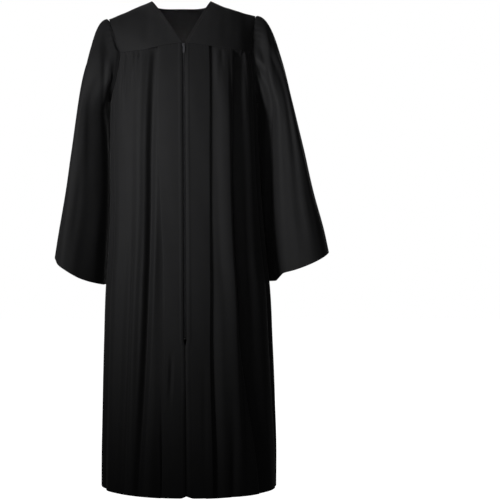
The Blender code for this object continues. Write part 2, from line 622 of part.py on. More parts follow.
def sleeve_surface(name):
    """A sleeve: a puffed head from the armhole out and down to its first ring, then the arm."""
    spec = SLEEVES[name]
    side = spec["side"]
    front, back = armhole(side)
    loop = np.concatenate([front, back[-2:0:-1]])
    share = np.concatenate([share_along(front), 2 - share_along(back)[-2:0:-1]])
    degrees = share * 180.0
    turn = np.radians(degrees)
    outwards = loop - np.array(INNER_SHOULDER) * (side, 1, 1)
    outwards[:, 2] = np.maximum(outwards[:, 2], 0.0)
    outwards /= np.linalg.norm(outwards, axis=1)[:, None]
    inwards = np.cross(outwards, np.roll(loop, -1, 0) - np.roll(loop, 1, 0)) * side
    inwards /= np.linalg.norm(inwards, axis=1)[:, None]
    loop = loop + inwards * SLEEVE_TUCK
    first_z, cuff_z = spec["rings"][0][0], spec["rings"][-1][0]
    length = -cuff_z
    ring, ring_normal = sleeve_ring(spec, np.full_like(turn, first_z), turn)
    w = np.array(HEAD_ROWS)[:, None]
    low = (1 - np.cos(turn)) / 2
    down = HEAD_DOWN + (UNDERARM_DOWN - HEAD_DOWN) * low
    outward = w ** spec["head_out"] + 0 * turn
    way = np.stack([outward, outward, w**down], -1)
    head = loop + (ring - loop) * way + run_into_arm(spec, turn, loop, ring, down, w)
    puff = HEAD_PUFF * np.sin(np.pi * w**0.8) ** 2 * np.abs(np.sin(turn)) ** 1.5
    stand_off = HEAD_ROLL[0] + (HEAD_ROLL[1] - HEAD_ROLL[0]) * low
    roll = stand_off * smooth(w / HEAD_ROWS[1]) * (1 - w) ** 2
    head = head + ring_normal * puff[..., None] + outwards * roll[..., None]
    z = np.linspace(first_z, cuff_z, ARM_ROWS + 1)[:, None]
    lower = (first_z - z) / (first_z - cuff_z)
    arm, arm_normal = sleeve_ring(spec, z + 0 * turn, turn + 0 * z)
    cuff_x = arm[-1, :, 0] * side
    outness = (cuff_x - (cuff_x.max() + cuff_x.min()) / 2) / (np.ptp(cuff_x) / 2)
    tilt = spec["cuff_rise"] * outness - spec["cuff_front_drop"] * np.sin(turn)
    tilt = tilt - spec["cuff_tail"] * smooth((CUFF_TAIL_FROM - outness) / CUFF_TAIL_RUN)
    arm[..., 2] += tilt * lower**CUFF_CURVE
    surface = np.concatenate([head, arm])
    normal = np.concatenate([np.broadcast_to(ring_normal, head.shape), arm_normal])
    along = np.clip(-surface[..., 2] / length, 0, 1)
    start = np.concatenate([w * 0.5, np.full_like(z, 0.5) + 0.5 * lower])
    depth = sleeve_fold(name, degrees + 0 * along, start + 0 * along)
    surface = surface - normal * depth[..., None]
    return surface if side > 0 else surface[:, ::-1]


def zip_rows(z_from, z_to):
    """Heights for the zip's strips: the fronts' own rows between two ends."""
    rows = YOKE_SEAM_Z + (HEM_Z - YOKE_SEAM_Z) * body_rows()
    between = rows[(rows < z_from - 0.004) & (rows > z_to + 0.004)]
    return np.concatenate([[z_from], between, [z_to]])[:, None]


def strip_surface(x_from, x_to, z_from, z_to, set_back):
    """A strip that follows the zip behind the cloth, between two distances from its middle."""
    z = zip_rows(z_from, z_to)
    offsets = np.array([x_from, x_to])[None, :]
    angle = angle_at(centre_x(z) + offsets, z + 0 * offsets)
    return body_point(angle, z + 0 * offsets, YOKE_SEAM_Z - z + 0 * offsets, set_back + 0 * angle)


# ---------------------------------------------------------------- Blender objects
def clear_scene():
    for obj in list(bpy.data.objects):
        bpy.data.objects.remove(obj, do_unlink=True)


def new_collection(name):
    collection = bpy.data.collections.new(name)
    bpy.context.scene.collection.children.link(collection)
    return collection


def material(name, colour, roughness, metallic=0.0):
    made = bpy.data.materials.new(name)
    made.use_nodes = True
    shader = made.node_tree.nodes["Principled BSDF"]
    shader.inputs["Base Color"].default_value = (*colour, 1.0)
    shader.inputs["Roughness"].default_value = roughness
    shader.inputs["Metallic"].default_value = metallic
    return made


def add_object(name, mesh, finish, collection):
    obj = bpy.data.objects.new(name, mesh)
    collection.objects.link(obj)
    mesh.materials.append(finish)
    return obj


def cloth(name, grid, finish, collection, wall=WALL, closed=False):
    """A wall from a grid of points, rows by columns. A closed one joins its last column."""
    rows, columns = grid.shape[:2]
    mesh = bpy.data.meshes.new(name)
    across = columns if closed else columns - 1
    i, j = np.meshgrid(np.arange(rows - 1), np.arange(across), indexing="ij")
    after = (j + 1) % columns
    faces = np.stack(
        [i * columns + j, (i + 1) * columns + j, (i + 1) * columns + after, i * columns + after], -1
    )
    mesh.from_pydata(grid.reshape(-1, 3).tolist(), [], faces.reshape(-1, 4).tolist())
    mesh.shade_smooth()
    obj = add_object(name, mesh, finish, collection)
    thick = obj.modifiers.new("thickness", "SOLIDIFY")
    thick.thickness = wall
    thick.offset = 0.0
    thick.use_even_offset = True
    return obj


def slope_frame(z):
    """A point of the zip on the cloth, the way down along the cloth and the way out."""
    angle = angle_at(centre_x(z), z)
    here = torso(angle, np.array(z))[0]
    lower = torso(angle, np.array(z - SLOPE_STEP))[0]
    down = lower - here
    down[0] = 0.0
    down /= np.linalg.norm(down)
    out = np.array([0.0, down[2], -down[1]])
    return here, down, out


def place(obj, along, outwards, z=SLIDER_Z):
    """Puts a zip part on the slope: distances down along the cloth and out from it."""
    here, down, out = slope_frame(z)
    obj.location = here + down * along + out * outwards
    obj.rotation_euler = (math.atan2(down[1], -down[2]), 0.0, 0.0)
    return obj


def block(name, size, finish, collection, bevel=0.0002):
    """A box of the given width, thickness and length, standing upright, with soft edges."""
    mesh = bpy.data.meshes.new(name)
    shape = bmesh.new()
    bmesh.ops.create_cube(shape, size=1.0)
    bmesh.ops.scale(shape, vec=size, verts=shape.verts)
    if bevel:
        bmesh.ops.bevel(shape, geom=list(shape.edges), offset=bevel, segments=1, affect="EDGES")
    shape.to_mesh(mesh)
    shape.free()
    return add_object(name, mesh, finish, collection)


def rod(name, radius, length, finish, collection):
    """A cylinder along X."""
    mesh = bpy.data.meshes.new(name)
    shape = bmesh.new()
    bmesh.ops.create_cone(
        shape, cap_ends=True, segments=ROD_SEGMENTS, radius1=radius, radius2=radius, depth=length
    )
    quarter = Matrix.Rotation(math.pi / 2, 3, "Y")
    bmesh.ops.rotate(shape, verts=shape.verts, matrix=quarter, cent=(0, 0, 0))
    shape.to_mesh(mesh)
    shape.free()
    return add_object(name, mesh, finish, collection)


def join(obj, others, operation="UNION"):
    """Adds helpers to a piece, or cuts them out of it. The helpers aren't rendered."""
    for other in others:
        other.hide_render = True
        other.display_type = "WIRE"
        cut = obj.modifiers.new(other.name, "BOOLEAN")
        cut.operation = operation
        cut.object = other
    return obj


def build_slider(finish, parts, helpers):
    """Two plates with a post between them, and the bridge that the pull hangs on."""
    plate = (SLIDER_WIDTH, SLIDER_PLATE, SLIDER_LENGTH)
    front_at = SLIDER_FRONT + SLIDER_PLATE / 2
    back_at = -(SLIDER_BACK + SLIDER_PLATE / 2)
    slider = place(block("zip_slider", plate, finish, parts), 0.0, front_at)
    back = place(block("slider_back_plate", plate, finish, helpers), 0.0, back_at)
    post_size = (POST_WIDTH, front_at - back_at, POST_LENGTH)
    post = block("slider_post", post_size, finish, helpers, bevel=0.0)
    place(post, -(SLIDER_LENGTH - POST_LENGTH) / 2 + 0.0004, (front_at + back_at) / 2)
    base = SLIDER_FRONT + SLIDER_PLATE
    height = BRIDGE_CLEAR + BRIDGE_WALL
    arch_size = (BRIDGE_WIDTH, height + 2 * JOINED, BRIDGE_LENGTH)
    arch = block("slider_bridge", arch_size, finish, helpers, 0.0)
    place(arch, 0.0, base + height / 2 - JOINED)
    hole_size = (BRIDGE_WIDTH * 2, BRIDGE_CLEAR, BRIDGE_LENGTH - 2 * BRIDGE_WALL)
    hole = place(block("bridge_hole", hole_size, finish, helpers, 0.0), 0.0, base + BRIDGE_CLEAR / 2)
    join(slider, [back, post, arch])
    join(slider, [hole], "DIFFERENCE")
    return slider


def build_pull(finish, parts, helpers):
    """The pull: a flat tab that turns on the rod at its upper end, under the slider's bridge."""
    axis_out = SLIDER_FRONT + SLIDER_PLATE + BRIDGE_CLEAR / 2
    pull = place(rod("zip_pull", PIN_RADIUS, PULL_WIDTH - 0.0004, finish, parts), 0.0, axis_out)
    tab_size = (PULL_WIDTH, PULL_WALL, PULL_LENGTH)
    tab = place(block("pull_tab", tab_size, finish, helpers), PULL_LENGTH / 2, axis_out)
    window_size = (PULL_WINDOW[0], PULL_WALL * 3, PULL_WINDOW[1])
    window_at = PULL_WINDOW[1] / 2 - WINDOW_ABOVE
    window = place(block("pull_window", window_size, finish, helpers, 0.0), window_at, axis_out)
    trimmed = join(tab, [window], "DIFFERENCE")
    join(pull, [trimmed])
    return pull


def build_zip(cloth_finish, metal, parts, helpers):
    top, bottom = ZIP_TOP_Z, ZIP_BOTTOM_Z
    for name, side in (("zip_tape_right", -1), ("zip_tape_left", 1)):
        edges = sorted((side * TAPE_INNER, side * TAPE_OUTER))
        grid = strip_surface(edges[0], edges[1], top - 0.001, bottom + 0.002, TAPE_SET_BACK)
        cloth(name, grid, cloth_finish, parts, TAPE_WALL)
    half = CHAIN_HALF_WIDTH
    chain_top = SLIDER_Z - 0.0014
    grid = strip_surface(-half, half, chain_top, bottom + 0.006, CHAIN_SET_BACK)
    cloth("zip_chain", grid, cloth_finish, parts, CHAIN_WALL)
    build_slider(metal, parts, helpers)
    build_pull(metal, parts, helpers)
    place(block("zip_stop", STOP_SIZE, metal, parts), 0.0, STOP_OUT, bottom + 0.003)


def main():
    clear_scene()
    parts = new_collection("graduation_gown")
    helpers = new_collection("helpers")
    black = material("black_gown_cloth", (0.012, 0.012, 0.013), 0.85)
    black_tape = material("black_zip_tape", (0.010, 0.010, 0.011), 0.75)
    steel = material("dark_zip_metal", (0.10, 0.10, 0.105), 0.40, 0.9)
    u = np.linspace(0, 1, YOKE_STEPS + 1)[None, :]
    v = yoke_rows()[:, None]
    for name, side in (("yoke_front_right", -1), ("yoke_front_left", 1)):
        grid = front_yoke(side, u + 0 * v, v + 0 * u)
        cloth(name, grid if side > 0 else grid[:, ::-1], black, parts)
    halves = [back_yoke(side, back_yoke_top(side)[None, :] + 0 * v, v) for side in (1, -1)]
    cloth("yoke_back", np.concatenate([halves[0][:, ::-1], halves[1][:, 1:]], 1), black, parts)
    cloth("front_right", front_surface(-1), black, parts)
    cloth("front_left", front_surface(1), black, parts)
    cloth("back_left", back_surface(1), black, parts)
    cloth("back_right", back_surface(-1), black, parts)
    for name in SLEEVES:
        cloth(name, sleeve_surface(name), black, parts, closed=True)
    build_zip(black_tape, steel, parts, helpers)


main()
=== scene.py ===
"""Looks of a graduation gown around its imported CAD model, laid out as a Blender add-on.

Metres, +Z up. The front faces -Y, and +X is on the wearer's left, as in the CAD. Each cloth piece is
a thin shell on the form of its CAD wall, from the same rings, seams and folds on a finer grid, with
its smaller creases, gathers, rolled seams and turned edges.
"""

import math
from collections import namedtuple

import bmesh
import bpy
import numpy as np
from bpy.props import FloatProperty, FloatVectorProperty, PointerProperty
from bpy.types import Operator, Panel, PropertyGroup
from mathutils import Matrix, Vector


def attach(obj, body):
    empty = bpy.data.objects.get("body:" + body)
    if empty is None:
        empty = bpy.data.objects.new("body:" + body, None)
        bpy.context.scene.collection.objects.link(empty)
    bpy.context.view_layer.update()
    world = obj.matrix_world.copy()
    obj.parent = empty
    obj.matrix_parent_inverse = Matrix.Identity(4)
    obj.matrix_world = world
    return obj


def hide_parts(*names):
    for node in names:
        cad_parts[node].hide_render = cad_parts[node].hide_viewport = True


bl_info = {
    "name": "Graduation gown",
    "version": (1, 0, 0),
    "blender": (4, 5, 0),
    "location": "3D View > Sidebar > Gown",
    "description": "Cloth, sewing, zip and studio of a graduation gown",
    "category": "Object",
}

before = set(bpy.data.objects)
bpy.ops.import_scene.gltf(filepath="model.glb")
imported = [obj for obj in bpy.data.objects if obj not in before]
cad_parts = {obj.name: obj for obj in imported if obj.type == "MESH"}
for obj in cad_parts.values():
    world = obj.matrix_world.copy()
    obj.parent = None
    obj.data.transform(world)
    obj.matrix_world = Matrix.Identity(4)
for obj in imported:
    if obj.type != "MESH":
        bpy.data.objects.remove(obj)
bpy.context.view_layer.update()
MM = 0.001


# ---------------------------------------------------------------- sizes shared with the CAD
SEAM_GAP = 0.0003
SLOPED_GAP = 0.0010
HEM_Z = -1.295
UNDERARM_Z = -0.272
YOKE_SEAM_Z = -0.129
YOKE_SEAM_DROP = {-1: 0.018, 1: 0.0115}
YOKE_SEAM_RUN = 0.125
BACK_SEAM_Z = -0.150
BACK_NECK_DEPTH = 0.058
BACK_NECK_RISE = 0.0275
NECK_CORNER = 2.6
YOKE_TURN = math.radians(68.0)
ZIP_GAP = 0.0040
CLOSED_GAP = 0.0005
CLOSING = 0.018
ZIP_TOP_Z = -0.1315
ZIP_BOTTOM_Z = -0.896
VENT_TOP_Z = -1.012
VENT_GAP = 0.0022
UNDERLAP_HALF_WIDTH = 0.009
UNDERLAP_SET_BACK = 0.0045
RING_CORNER = 2.25

# Body rings: height, centre, half width, depth in front, depth behind.
TORSO_COLUMNS = ("z", "centre", "half_width", "front", "back")
TORSO = (
    (-0.100, 0.0000, 0.1800, 0.092, 0.100),
    (-0.200, 0.0010, 0.1900, 0.118, 0.121),
    (-0.300, 0.0030, 0.1960, 0.130, 0.129),
    (-0.400, 0.0050, 0.1990, 0.136, 0.131),
    (-0.534, 0.0090, 0.2020, 0.143, 0.135),
    (-0.668, 0.0125, 0.2105, 0.151, 0.142),
    (-0.770, 0.0148, 0.2199, 0.157, 0.148),
    (-0.910, 0.0156, 0.2252, 0.165, 0.155),
    (-1.070, 0.0168, 0.2302, 0.173, 0.163),
    (-1.178, 0.0175, 0.2330, 0.178, 0.168),
    (-1.295, 0.0174, 0.2330, 0.182, 0.172),
)

# Long folds: angle round the body in degrees (0 front, 90 the wearer's left, 180 back) and depth
# in mm (a ridge is negative) at the heights of FOLD_Z, then the half widths in mm to both sides.
FOLD_Z = (-0.150, -0.500, -0.850, -1.295)
Fold = namedtuple("Fold", "name angle depth width_below width_above")
FOLD_TABLE = (
    ("right_long_valley", (-21, -25.0, -26.6, -32.2), (4, 16, 18, 10), 13, 20),
    ("right_long_ridge", (-31, -34, -36, -38), (-3, -5, -6, -4), 22, 16),
    ("right_hem_valley", (-43, -43, -43, -47), (0, 2, 9, 7), 22, 26),
    ("right_side_ridge", (-60, -58, -57, -60), (0, -3, -5, -5), 26, 24),
    ("right_side_valley", (-74, -72, -71, -73), (3, 5, 7, 8), 20, 22),
    ("left_deep_fold", (46, 37, 35, 52), (14, 30, 28, 14), 11, 34),
    ("left_soft_ridge", (60, 55, 51, 66), (-2, -3, -3, -2), 20, 22),
    ("left_beside_sleeve", (74, 73, 72, 80), (2, 9, 8, 4), 18, 20),
    ("left_hem_valley", (27, 27, 26.8, 26.2), (0, 0, 0, 5), 15, 17),
    ("left_inner_ridge", (35, 31.5, 30, 33), (-1, -9, -8, -4), 36, 11),
    ("left_hollow", (54, 48, 46, 60), (1, 9, 9, 4), 26, 40),
    ("back_1", (104, 104, 103, 101), (3, 8, 9, 10), 22, 26),
    ("back_2", (124, 122, 120, 117), (-3, -8, -9, -11), 20, 22),
    ("back_3", (139, 137, 135, 133), (5, 15, 17, 15), 18, 22),
    ("back_4", (152, 151, 150, 151), (-3, -7, -9, -11), 18, 16),
    ("back_5", (164, 164, 165, 167), (5, 13, 15, 13), 16, 20),
    ("back_6", (181, 182, 183, 184), (-2, -6, -8, -10), 26, 22),
    ("back_7", (198, 199, 200, 199), (5, 15, 16, 14), 20, 17),
    ("back_8", (211, 212, 213, 215), (-3, -7, -8, -10), 16, 20),
    ("back_9", (224, 226, 228, 231), (4, 13, 16, 14), 20, 18),
    ("back_10", (240, 242, 244, 247), (-3, -7, -9, -11), 22, 20),
    ("back_11", (258, 258, 259, 260), (3, 7, 8, 9), 24, 22),
)
FOLDS = tuple(Fold(*row) for row in FOLD_TABLE)
FOLD_RISE = 0.030

# Knife pleats of each side, at FOLD_Z: the angle of the visible edge in degrees, how far the cloth
# turns back in degrees, the radius of its turns in mm and the cloth hidden under it in mm.
Pleat = namedtuple("Pleat", "edge turn radius lap")
PLEATS = {
    1: Pleat((19.3, 15.5, 12.1, 12.6), (180, 180, 176, 160), (1.5, 1.6, 1.9, 2.6), (14, 14, 14, 13)),
    -1: Pleat((17.6, 16.5, 13.6, 15.3), (180, 172, 60, 95), (1.5, 1.6, 2.6, 2.6), (11, 11, 4, 6)),
}
PLEAT_EASE = 0.034
PLEAT_EMERGE = 0.0015
HEM_DIP = 0.26

# Gathers below a yoke: angle from, angle to, how many waves, depth in mm, length in metres.
Gather = namedtuple("Gather", "angle_from angle_to waves depth length")
GATHERS = (
    Gather(-62, -30, 6, 1.6, 0.055),
    Gather(50, 74, 4, 1.5, 0.050),
    Gather(122, 238, 17, 2.4, 0.090),
)
GATHER_RISE = 0.012

# Sleeves, one row for each ring below the head: height, how far out the ring reaches, how near
# the body it comes, its centre front to back and half its depth.
SLEEVE_COLUMNS = ("z", "outer", "inner", "centre_y", "half_depth")
SLEEVES = {
    "sleeve_right": {
        "side": -1,
        "rings": (
            (-0.320, 0.2815, 0.1900, 0.022, 0.080),
            (-0.420, 0.2970, 0.1890, 0.028, 0.087),
            (-0.534, 0.3135, 0.1900, 0.033, 0.095),
            (-0.640, 0.3293, 0.1970, 0.037, 0.104),
            (-0.7205, 0.3400, 0.2030, 0.040, 0.112),
        ),
        "head_out": 0.83,
        "slant": 0.030,
        "cuff_rise": 0.045,
        "cuff_front_drop": 0.024,
        "cuff_tail": 0.000,
    },
    "sleeve_left": {
        "side": 1,
        "rings": (
            (-0.320, 0.3020, 0.1960, 0.018, 0.082),
            (-0.420, 0.3262, 0.2010, 0.022, 0.090),
            (-0.534, 0.3517, 0.2070, 0.027, 0.098),
            (-0.640, 0.3782, 0.2160, 0.031, 0.107),
            (-0.703, 0.3900, 0.2240, 0.034, 0.114),
        ),
        "head_out": 0.92,
        "slant": 0.030,
        "cuff_rise": 0.0364,
        "cuff_front_drop": 0.0135,
        "cuff_tail": 0.015,
    },
}
HEAD_DOWN = 2.2
UNDERARM_DOWN = 1.3
HEAD_PUFF = 0.010
HEAD_ROLL = (0.0025, 0.0055)  # how far it stands off its seam, on top and under the arm
HEAD_ROLL_START = 0.03  # share of the way down the head over which it does so
INNER_SHOULDER = (0.100, 0.004, -0.190)
SLEEVE_TUCK = 0.0018
CUFF_CURVE = 1.5
CUFF_TAIL_FROM = -0.45
CUFF_TAIL_RUN = 0.3

# Folds of the sleeves: angle round the sleeve in degrees (0 outside, 90 front, 180 next to the
# body, 270 back) and depth in mm at the head, elbow and cuff, then the half width in degrees.
SleeveFold = namedtuple("SleeveFold", "sleeve angle depth width")
SLEEVE_FOLD_TABLE = (
    ("sleeve_right", (112, 146, 150), (-4, -13, -11), 36),
    ("sleeve_right", (60, 66, 70), (-2, -3, -4), 26),
    ("sleeve_right", (250, 245, 240), (6, 9, 9), 22),
    ("sleeve_right", (292, 296, 300), (3, 5, 7), 24),
    ("sleeve_right", (330, 325, 322), (-1, -2, -3), 20),
    ("sleeve_left", (106, 144, 164), (10, 10, 7), 16),
    ("sleeve_left", (84, 117, 134), (-4, -6, -5), 14),
    ("sleeve_left", (62, 86, 100), (3, 6, 3), 16),
    ("sleeve_left", (250, 247, 243), (6, 9, 8), 22),
    ("sleeve_left", (295, 292, 297), (3, 6, 8), 24),
    ("sleeve_left", (330, 326, 322), (-1, -2, -3), 20),
)
SLEEVE_FOLDS = tuple(SleeveFold(*row) for row in SLEEVE_FOLD_TABLE)
SLEEVE_FOLD_PLACES = (0.0, 0.5, 1.0)
SLEEVE_FOLD_RISE = 0.10

CORNER_FRONT = {-1: 61.0, 1: 76.0}
CORNER_BACK = {-1: 112.0, 1: 112.0}
CORNER_Z = -0.140

SIDE_SEAM_Z = -0.700

RIDGE_COLUMNS = ("out", "z")
RIDGES = {
    -1: ((0.0830, -0.0023), (0.1065, -0.0124), (0.1575, -0.0338), (0.1970, -0.0495)),
    1: (
        (0.0765, -0.0023),
        (0.0982, -0.0121),
        (0.1291, -0.0228),
        (0.1645, -0.0332),
        (0.1862, -0.0382),
        (0.1950, -0.0400),
    ),
}
RIDGE_TIP_Y = 0.004

# Zip, in the slope of the cloth.
TAPE_INNER = 0.0014
TAPE_OUTER = 0.0150
TAPE_SET_BACK = 0.0024
TAPE_WALL = 0.0005
TAPE_ENDS = (-0.001, 0.002)  # above the zip's top and above its bottom
CHAIN_HALF_WIDTH = 0.0024
CHAIN_SET_BACK = 0.0012
TOOTH_REACH = 0.0003  # past the middle of the zip
TOOTH_HEIGHT = 0.0014
TEETH_ENDS = (-0.0014, 0.006)  # above the slider's middle and above the zip's bottom
SLIDER_Z = -0.1370
SLOPE_STEP = 0.03
SLIDER_WIDTH = 0.0086
SLIDER_LENGTH = 0.0105
SLIDER_PLATE = 0.0013
SLIDER_FRONT = 0.0011
SLIDER_BACK = 0.0033
SLIDER_TAPER = 0.22
SLIDER_DOME = 0.0002
POST_WIDTH = 0.0022
POST_LENGTH = 0.0026
POST_BELOW_TOP = 0.0004
BRIDGE_WIDTH = 0.0018
BRIDGE_LENGTH = 0.0066
BRIDGE_WALL = 0.0009
BRIDGE_CLEAR = 0.0021
PULL_LENGTH = 0.0225
PULL_WIDTH = 0.0052
PULL_WALL = 0.0011
PULL_EYE = (0.00055, 0.0045, 0.0026)  # from and to below the axis, and width
PULL_ABOVE = 0.0008
PULL_NARROWING = 0.16  # share by which it is narrower at its eye
PULL_SUNK = (0.007, 0.002)  # below the axis, and the length over which it sinks
STOP_SIZE = (0.0064, 0.0013, 0.0030)
STOP_OUT = -0.0001
STOP_UP = 0.003
STOP_DOME = 0.0002


# ---------------------------------------------------------------- finer form of the cloth
# Soft creases: three heights (start, deepest, end), the angles there in degrees, the depth in mm
# (a ridge is negative) and the half width in mm.
Crease = namedtuple("Crease", "z angle depth width")
CREASES = (
    Crease((-0.128, -0.165, -0.270), (-34.0, -34.6, -35.5), 2.2, 9),
    Crease((-0.128, -0.180, -0.330), (-47.5, -48.0, -49.0), 2.6, 11),
    Crease((-0.128, -0.160, -0.230), (-40.5, -41.0, -42.5), -1.4, 8),
    Crease((-0.128, -0.170, -0.300), (26.5, 25.5, 24.0), -2.0, 9),
    Crease((-0.128, -0.155, -0.215), (31.5, 30.5, 29.5), 2.2, 8),
    Crease((-0.128, -0.170, -0.290), (56.0, 55.0, 53.5), 1.8, 8),
    Crease((-0.128, -0.160, -0.250), (66.0, 65.5, 64.0), 1.6, 7),
    Crease((-0.520, -0.700, -0.930), (-50.0, -50.5, -51.0), 1.8, 15),
    Crease((-0.850, -1.040, -1.310), (-22.0, -23.0, -25.0), 1.8, 14),
    Crease((-0.915, -0.985, -1.080), (-9.0, -9.4, -10.4), 3.2, 9),
    Crease((-1.010, -1.200, -1.450), (-15.6, -15.5, -15.4), 4.5, 5),
    Crease((-0.900, -1.100, -1.330), (8.0, 7.8, 7.5), 1.2, 12),
    Crease((-0.480, -0.680, -0.900), (22.0, 21.0, 20.0), 1.5, 12),
    Crease((-1.110, -1.245, -1.420), (26.5, 26.3, 26.2), 3.5, 12),
    Crease((-0.148, -0.205, -0.390), (112.0, 111.0, 109.5), 2.0, 10),
    Crease((-0.148, -0.190, -0.300), (131.0, 130.5, 129.0), 2.4, 8),
    Crease((-0.148, -0.230, -0.520), (146.5, 145.5, 144.0), 2.2, 9),
    Crease((-0.148, -0.200, -0.340), (172.0, 172.5, 173.5), 2.6, 9),
    Crease((-0.148, -0.215, -0.450), (191.5, 192.0, 192.5), 2.0, 8),
    Crease((-0.148, -0.185, -0.290), (206.0, 206.5, 208.0), 2.8, 8),
    Crease((-0.148, -0.225, -0.480), (218.0, 218.5, 220.0), 2.0, 9),
    Crease((-0.148, -0.200, -0.330), (234.0, 235.0, 237.0), 2.4, 10),
    Crease((-0.560, -0.790, -1.060), (113.0, 112.0, 110.0), 2.4, 14),
    Crease((-0.700, -0.960, -1.320), (158.5, 158.0, 159.0), 2.2, 12),
    Crease((-0.480, -0.690, -0.940), (190.5, 191.5, 191.0), 1.8, 12),
    Crease((-0.780, -1.010, -1.330), (206.0, 206.5, 207.5), 2.4, 13),
    Crease((-0.600, -0.860, -1.150), (251.0, 251.5, 252.0), 2.0, 15),
)

# The same on the sleeves, with angles round the sleeve and the half width in degrees.
SleeveCrease = namedtuple("SleeveCrease", "sleeve z angle depth width")
SLEEVE_CREASES = (
    SleeveCrease("sleeve_right", (-0.045, -0.150, -0.330), (14, 76, 160), 5.0, 6),
    SleeveCrease("sleeve_right", (-0.095, -0.138, -0.185), (46, 72, 100), 3.0, 5),
    SleeveCrease("sleeve_right", (-0.240, -0.380, -0.560), (44, 46, 50), 1.4, 12),
    SleeveCrease("sleeve_right", (-0.420, -0.560, -0.740), (98, 96, 95), 1.6, 10),
    SleeveCrease("sleeve_right", (-0.090, -0.150, -0.300), (222, 226, 232), 2.4, 11),
    SleeveCrease("sleeve_right", (-0.300, -0.460, -0.640), (272, 270, 266), 2.2, 12),
    SleeveCrease("sleeve_right", (-0.080, -0.130, -0.230), (300, 303, 308), 1.8, 9),
    SleeveCrease("sleeve_left", (-0.050, -0.130, -0.300), (10, 60, 128), -4.0, 7),
    SleeveCrease("sleeve_left", (-0.070, -0.160, -0.320), (30, 84, 150), 7.0, 8),
    SleeveCrease("sleeve_left", (-0.085, -0.150, -0.260), (50, 88, 160), -2.2, 5),
    SleeveCrease("sleeve_left", (-0.280, -0.420, -0.600), (44, 48, 52), 1.5, 12),
    SleeveCrease("sleeve_left", (-0.440, -0.580, -0.740), (70, 72, 75), 1.6, 11),
    SleeveCrease("sleeve_left", (-0.090, -0.160, -0.320), (228, 232, 238), 2.4, 11),
    SleeveCrease("sleeve_left", (-0.340, -0.480, -0.640), (274, 271, 268), 2.0, 12),
    SleeveCrease("sleeve_left", (-0.075, -0.120, -0.220), (305, 308, 312), 1.8, 9),
)

# The cloth's unevenness: waves for each turn round, length down in metres, start and height in mm.
Wave = namedtuple("Wave", "turns length start height")
BODY_WAVES = (
    Wave(17, 0.41, 0.3, 0.28),
    Wave(29, 0.27, 1.9, 0.12),
    Wave(43, 0.53, 4.0, 0.06),
    Wave(11, -0.63, 2.2, 0.35),
)
SLEEVE_WAVES = (Wave(6, 0.37, 0.4, 0.40), Wave(11, -0.29, 2.0, 0.26), Wave(17, 0.45, 4.1, 0.15))
YOKE_WAVES = (Wave(23, 0.31, 0.5, 0.34), Wave(41, -0.42, 2.6, 0.20), Wave(13, 0.23, 1.2, 0.30))

# Seams and sewing. Above its seam a front or back has two rows of cloth: shares of the allowance
# that they rise, and shares of the tuck that they lie further in.
ALLOWANCE_RISE = np.array([1.0, 0.4])[:, None]
ALLOWANCE_TUCK = np.array([1.0, 0.5])[:, None]
TUCK = 0.0006
TUCK_AT_ZIP = 0.0022
ARMHOLE_ALLOWANCE = 0.001
CORNER_EASE = 0.004
PAST_SEAM_IN = 0.005
PAST_SEAM_BACK = 0.0009
YOKE_EDGE_ROLL = (0.0006, 0.0025)  # how far it turns in, and within what width
YOKE_SEAM_ROLL = (0.0004, 0.0012)
FRONT_EDGE_ROLL = (0.0010, 0.0025)
FRONT_EDGE_RIDGE = (0.0007, 0.0045)  # height and width
FRONT_EDGE_DRAWN = (0.0016, 0.006)  # how far the sewing draws it in, and how soon that fades
CLOSED_SEAM_STARTS = (0.004, 0.012)  # above the zip's end, and the length over which it does
VENT_OPENS = (0.010, 0.060)  # above the vent's top, and the length over which it does
VENT_CORNER_FROM = 0.030  # above the hem
VENT_CORNER_LIFT = (0.0035, 0.006)
SLEEVE_ALLOWANCE = np.array([1.0, 0.5, 0.18])[:, None, None]  # shares, row by row

# Puckers beside sewing: lengths of their two waves, then height and reach for each kind of seam.
PUCKER_LENGTHS = (0.0071, 0.0109)
YOKE_SEAM_PUCKERS = (0.00022, 0.007)
CLOSED_SEAM_PUCKERS = (0.0005, 0.007)
MIDDLE_SEAM_PUCKERS = (0.00025, 0.008)
HEAD_GATHER_WAVES = 33
HEAD_GATHER_DEPTH = 0.0009
HEAD_GATHER_LENGTH = 0.10  # as a share of the head's way down
ZIP_STITCHES_IN = 0.0065  # from the folded edge
V_STITCHES_IN = 0.0063
NECK_STITCHES_IN = 0.0038
NECK_STITCHES_PAST = 0.002  # how far they run on past the neck's corners
INNER_STITCHES_OFF = 0.0002  # how far the inner row's middle stands off the cloth
ZIP_STITCHES_PAST = 0.012  # below the zip's end
STITCH_SHARE = 0.74  # of a stitch's length, the rest being the gap
THREAD_WIDTH = 0.00042
THREAD_HEIGHT = 0.00036


def linear(hex_colour):
    """An sRGB hex colour as linear red, green, blue and alpha."""
    shares = np.array([int(hex_colour[i : i + 2], 16) for i in (1, 3, 5)]) / 255.0
    values = np.where(shares <= 0.04045, shares / 12.92, ((shares + 0.055) / 1.055) ** 2.4)
    return (*values.tolist(), 1.0)


